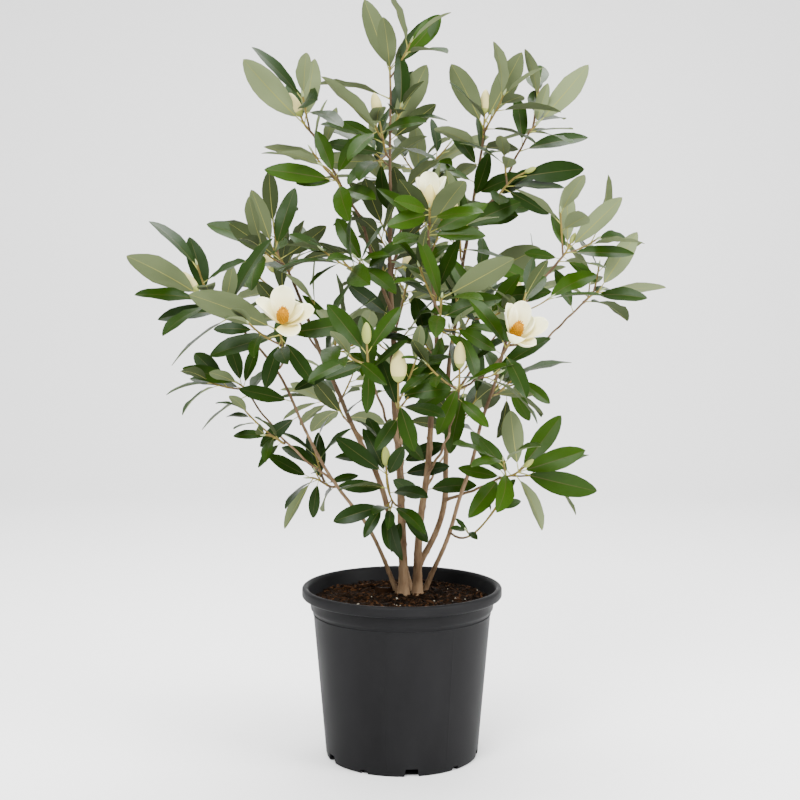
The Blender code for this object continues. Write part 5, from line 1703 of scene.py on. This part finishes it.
class MAGNOLIA_OT_leaves(bpy.types.Operator):
    """Grow the leaves, glossy green above and pale below, in place of the solid masses"""

    bl_idname = "magnolia.leaves"
    bl_label = "Leaves"

    def execute(self, context):
        look = context.scene.magnolia_leaf
        leaves = plant().leaves
        looks = [leaf_look(f"leaf top {k}", between(look.deep, look.fresh, share), 0.3, 0.44, 260, 0.25,
                           specular=0.1) for k, share in enumerate(TOP_TINTS)]
        looks += [leaf_look(f"leaf underside {k}", between(look.sage, look.pale, share), 0.65, 0.85, 260, 0.3,
                            specular=0.05) for k, share in enumerate(UNDER_TINTS)]
        rib_above, rib_below = len(looks), len(looks) + 1
        looks += [leaf_look("midrib above", shaded(look.rib, 0.16), 0.4, 0.55, 600, 0.1),
                  leaf_look("midrib below", shaded(look.rib, 0.8), 0.6, 0.75, 600, 0.1)]
        top, under, _, _ = fine_blades(leaves)
        count, rows = top.shape[:2]
        points = np.concatenate([top.reshape(count, -1, 3), under.reshape(count, -1, 3)], axis=1)
        draw = np.random.default_rng(LEAF_SEED + 1)
        upper = dealt_tints(leaves, draw, len(TOP_TINTS))
        # The undersides in the upper crown are a step lighter: painted light.
        lower = len(TOP_TINTS) + dealt_tints(leaves, draw, len(UNDER_TINTS), high=1)
        picks = [np.repeat(tints, (rows - 1) * 3).reshape(count, -1, 3) for tints in (upper, lower)]
        for faces, rib in zip(picks, (rib_above, rib_below)):
            faces[:, :, 1] = rib
        heap = Heap().add(points, blade_faces(count, rows), [*(faces.ravel() for faces in picks), rib_below])
        made = heap.piece("leaves", looks, "foliage")
        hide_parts(*FOLIAGE_NODES)
        return {"FINISHED"}


class MAGNOLIA_OT_blooms(bpy.types.Operator):
    """Make the open flowers, the half-open one and the buds"""

    bl_idname = "magnolia.blooms"
    bl_label = "Blooms"

    def execute(self, context):
        look = context.scene.magnolia_bloom
        petal = petal_look(look.petal, look.foot)
        bud_looks = [leaf_look(f"{name} bud", getattr(look, name), 0.45, 0.6, 220, 0.2)
                     for name in ("cream", "green")]
        stamens = [leaf_look(name, tint, 0.5, 0.65, 900, 0.3, specular=0.04)
                   for name, tint in (("stamen", look.centre), ("stamen tip", shaded(look.centre, 1.3)))]
        draw = np.random.default_rng(BLOOM_SEED)
        buds, petals, centres = Heap(), Heap(), Heap()
        along = []
        for bloom in plant().blooms:
            if bloom.kind in BUDS:
                points, blocks, foot = bud_surface(*bloom[1:])
                buds.add(points, blocks, [foot | (bloom.kind not in PALE_BUDS), 1])
                continue
            heading, rows = FLOWER_FORMS[bloom.mass]
            axis = heading_vector(*heading)
            for shape in (Petal(*row) for row in rows):
                petals.add(*petal_surface(bloom.foot, axis, shape, draw))
                # The attribute is nought at a petal's foot, where its cream and painted shade are strongest; a
                # petal's cream share spreads them further up it.
                along.append(np.repeat(petal_rows(), PETAL_COLUMNS) * (1 - shape.cream))
            add_centre(centres, bloom.kind, bloom.foot, axis, draw)
        buds.piece("flower_buds", bud_looks, "foliage", sharp=50)
        sheet = petals.piece("petals", [petal], "foliage", sharp=180)
        place = sheet.data.attributes.new("along", "FLOAT", "POINT")
        place.data.foreach_set("value", np.concatenate(along).astype(np.float32))
        wall = sheet.modifiers.new("petal thickness", "SOLIDIFY")
        wall.thickness = PETAL_WALL
        wall.offset = 0
        centres.piece("flower_centres", stamens, "foliage")
        return {"FINISHED"}


class MAGNOLIA_PT_panel(bpy.types.Panel):
    """The steps of the plant in the sidebar, with their sizes and colours"""

    bl_idname = "MAGNOLIA_PT_panel"
    bl_label = "Magnolia"
    bl_space_type = "VIEW_3D"
    bl_region_type = "UI"
    bl_category = "Magnolia"

    def draw(self, context):
        for operator, holder in STEPS:
            box = self.layout.box()
            box.operator(operator.bl_idname)
            look = getattr(context.scene, holder)
            for name in look.__annotations__:
                box.prop(look, name)


LOOKS = {
    "magnolia_stage": StageLook,
    "magnolia_pot": PotLook,
    "magnolia_soil": SoilLook,
    "magnolia_bark": BarkLook,
    "magnolia_leaf": LeafLook,
    "magnolia_bloom": BloomLook,
}
STEPS = (
    (MAGNOLIA_OT_stage, "magnolia_stage"),
    (MAGNOLIA_OT_pot, "magnolia_pot"),
    (MAGNOLIA_OT_soil, "magnolia_soil"),
    (MAGNOLIA_OT_limbs, "magnolia_bark"),
    (MAGNOLIA_OT_twigs, "magnolia_bark"),
    (MAGNOLIA_OT_leaves, "magnolia_leaf"),
    (MAGNOLIA_OT_blooms, "magnolia_bloom"),
)


def register():
    for holder, group in LOOKS.items():
        bpy.utils.register_class(group)
        setattr(bpy.types.Scene, holder, PointerProperty(type=group))
    for operator, _ in STEPS:
        bpy.utils.register_class(operator)
    bpy.utils.register_class(MAGNOLIA_PT_panel)


def unregister():
    bpy.utils.unregister_class(MAGNOLIA_PT_panel)
    for operator, _ in reversed(STEPS):
        bpy.utils.unregister_class(operator)
    for holder, group in LOOKS.items():
        delattr(bpy.types.Scene, holder)
        bpy.utils.unregister_class(group)


def main():
    register()
    bpy.ops.magnolia.stage()
    bpy.ops.magnolia.pot()
    bpy.ops.magnolia.soil()
    bpy.ops.magnolia.limbs()
    bpy.ops.magnolia.twigs()
    bpy.ops.magnolia.leaves()
    bpy.ops.magnolia.blooms()
    bpy.context.view_layer.update()
    low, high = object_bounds()
    {"cad": [list(CAD_LOW), list(CAD_HIGH)], "visual": [list(low), list(high)]}


if __name__ == "__main__":
    main()
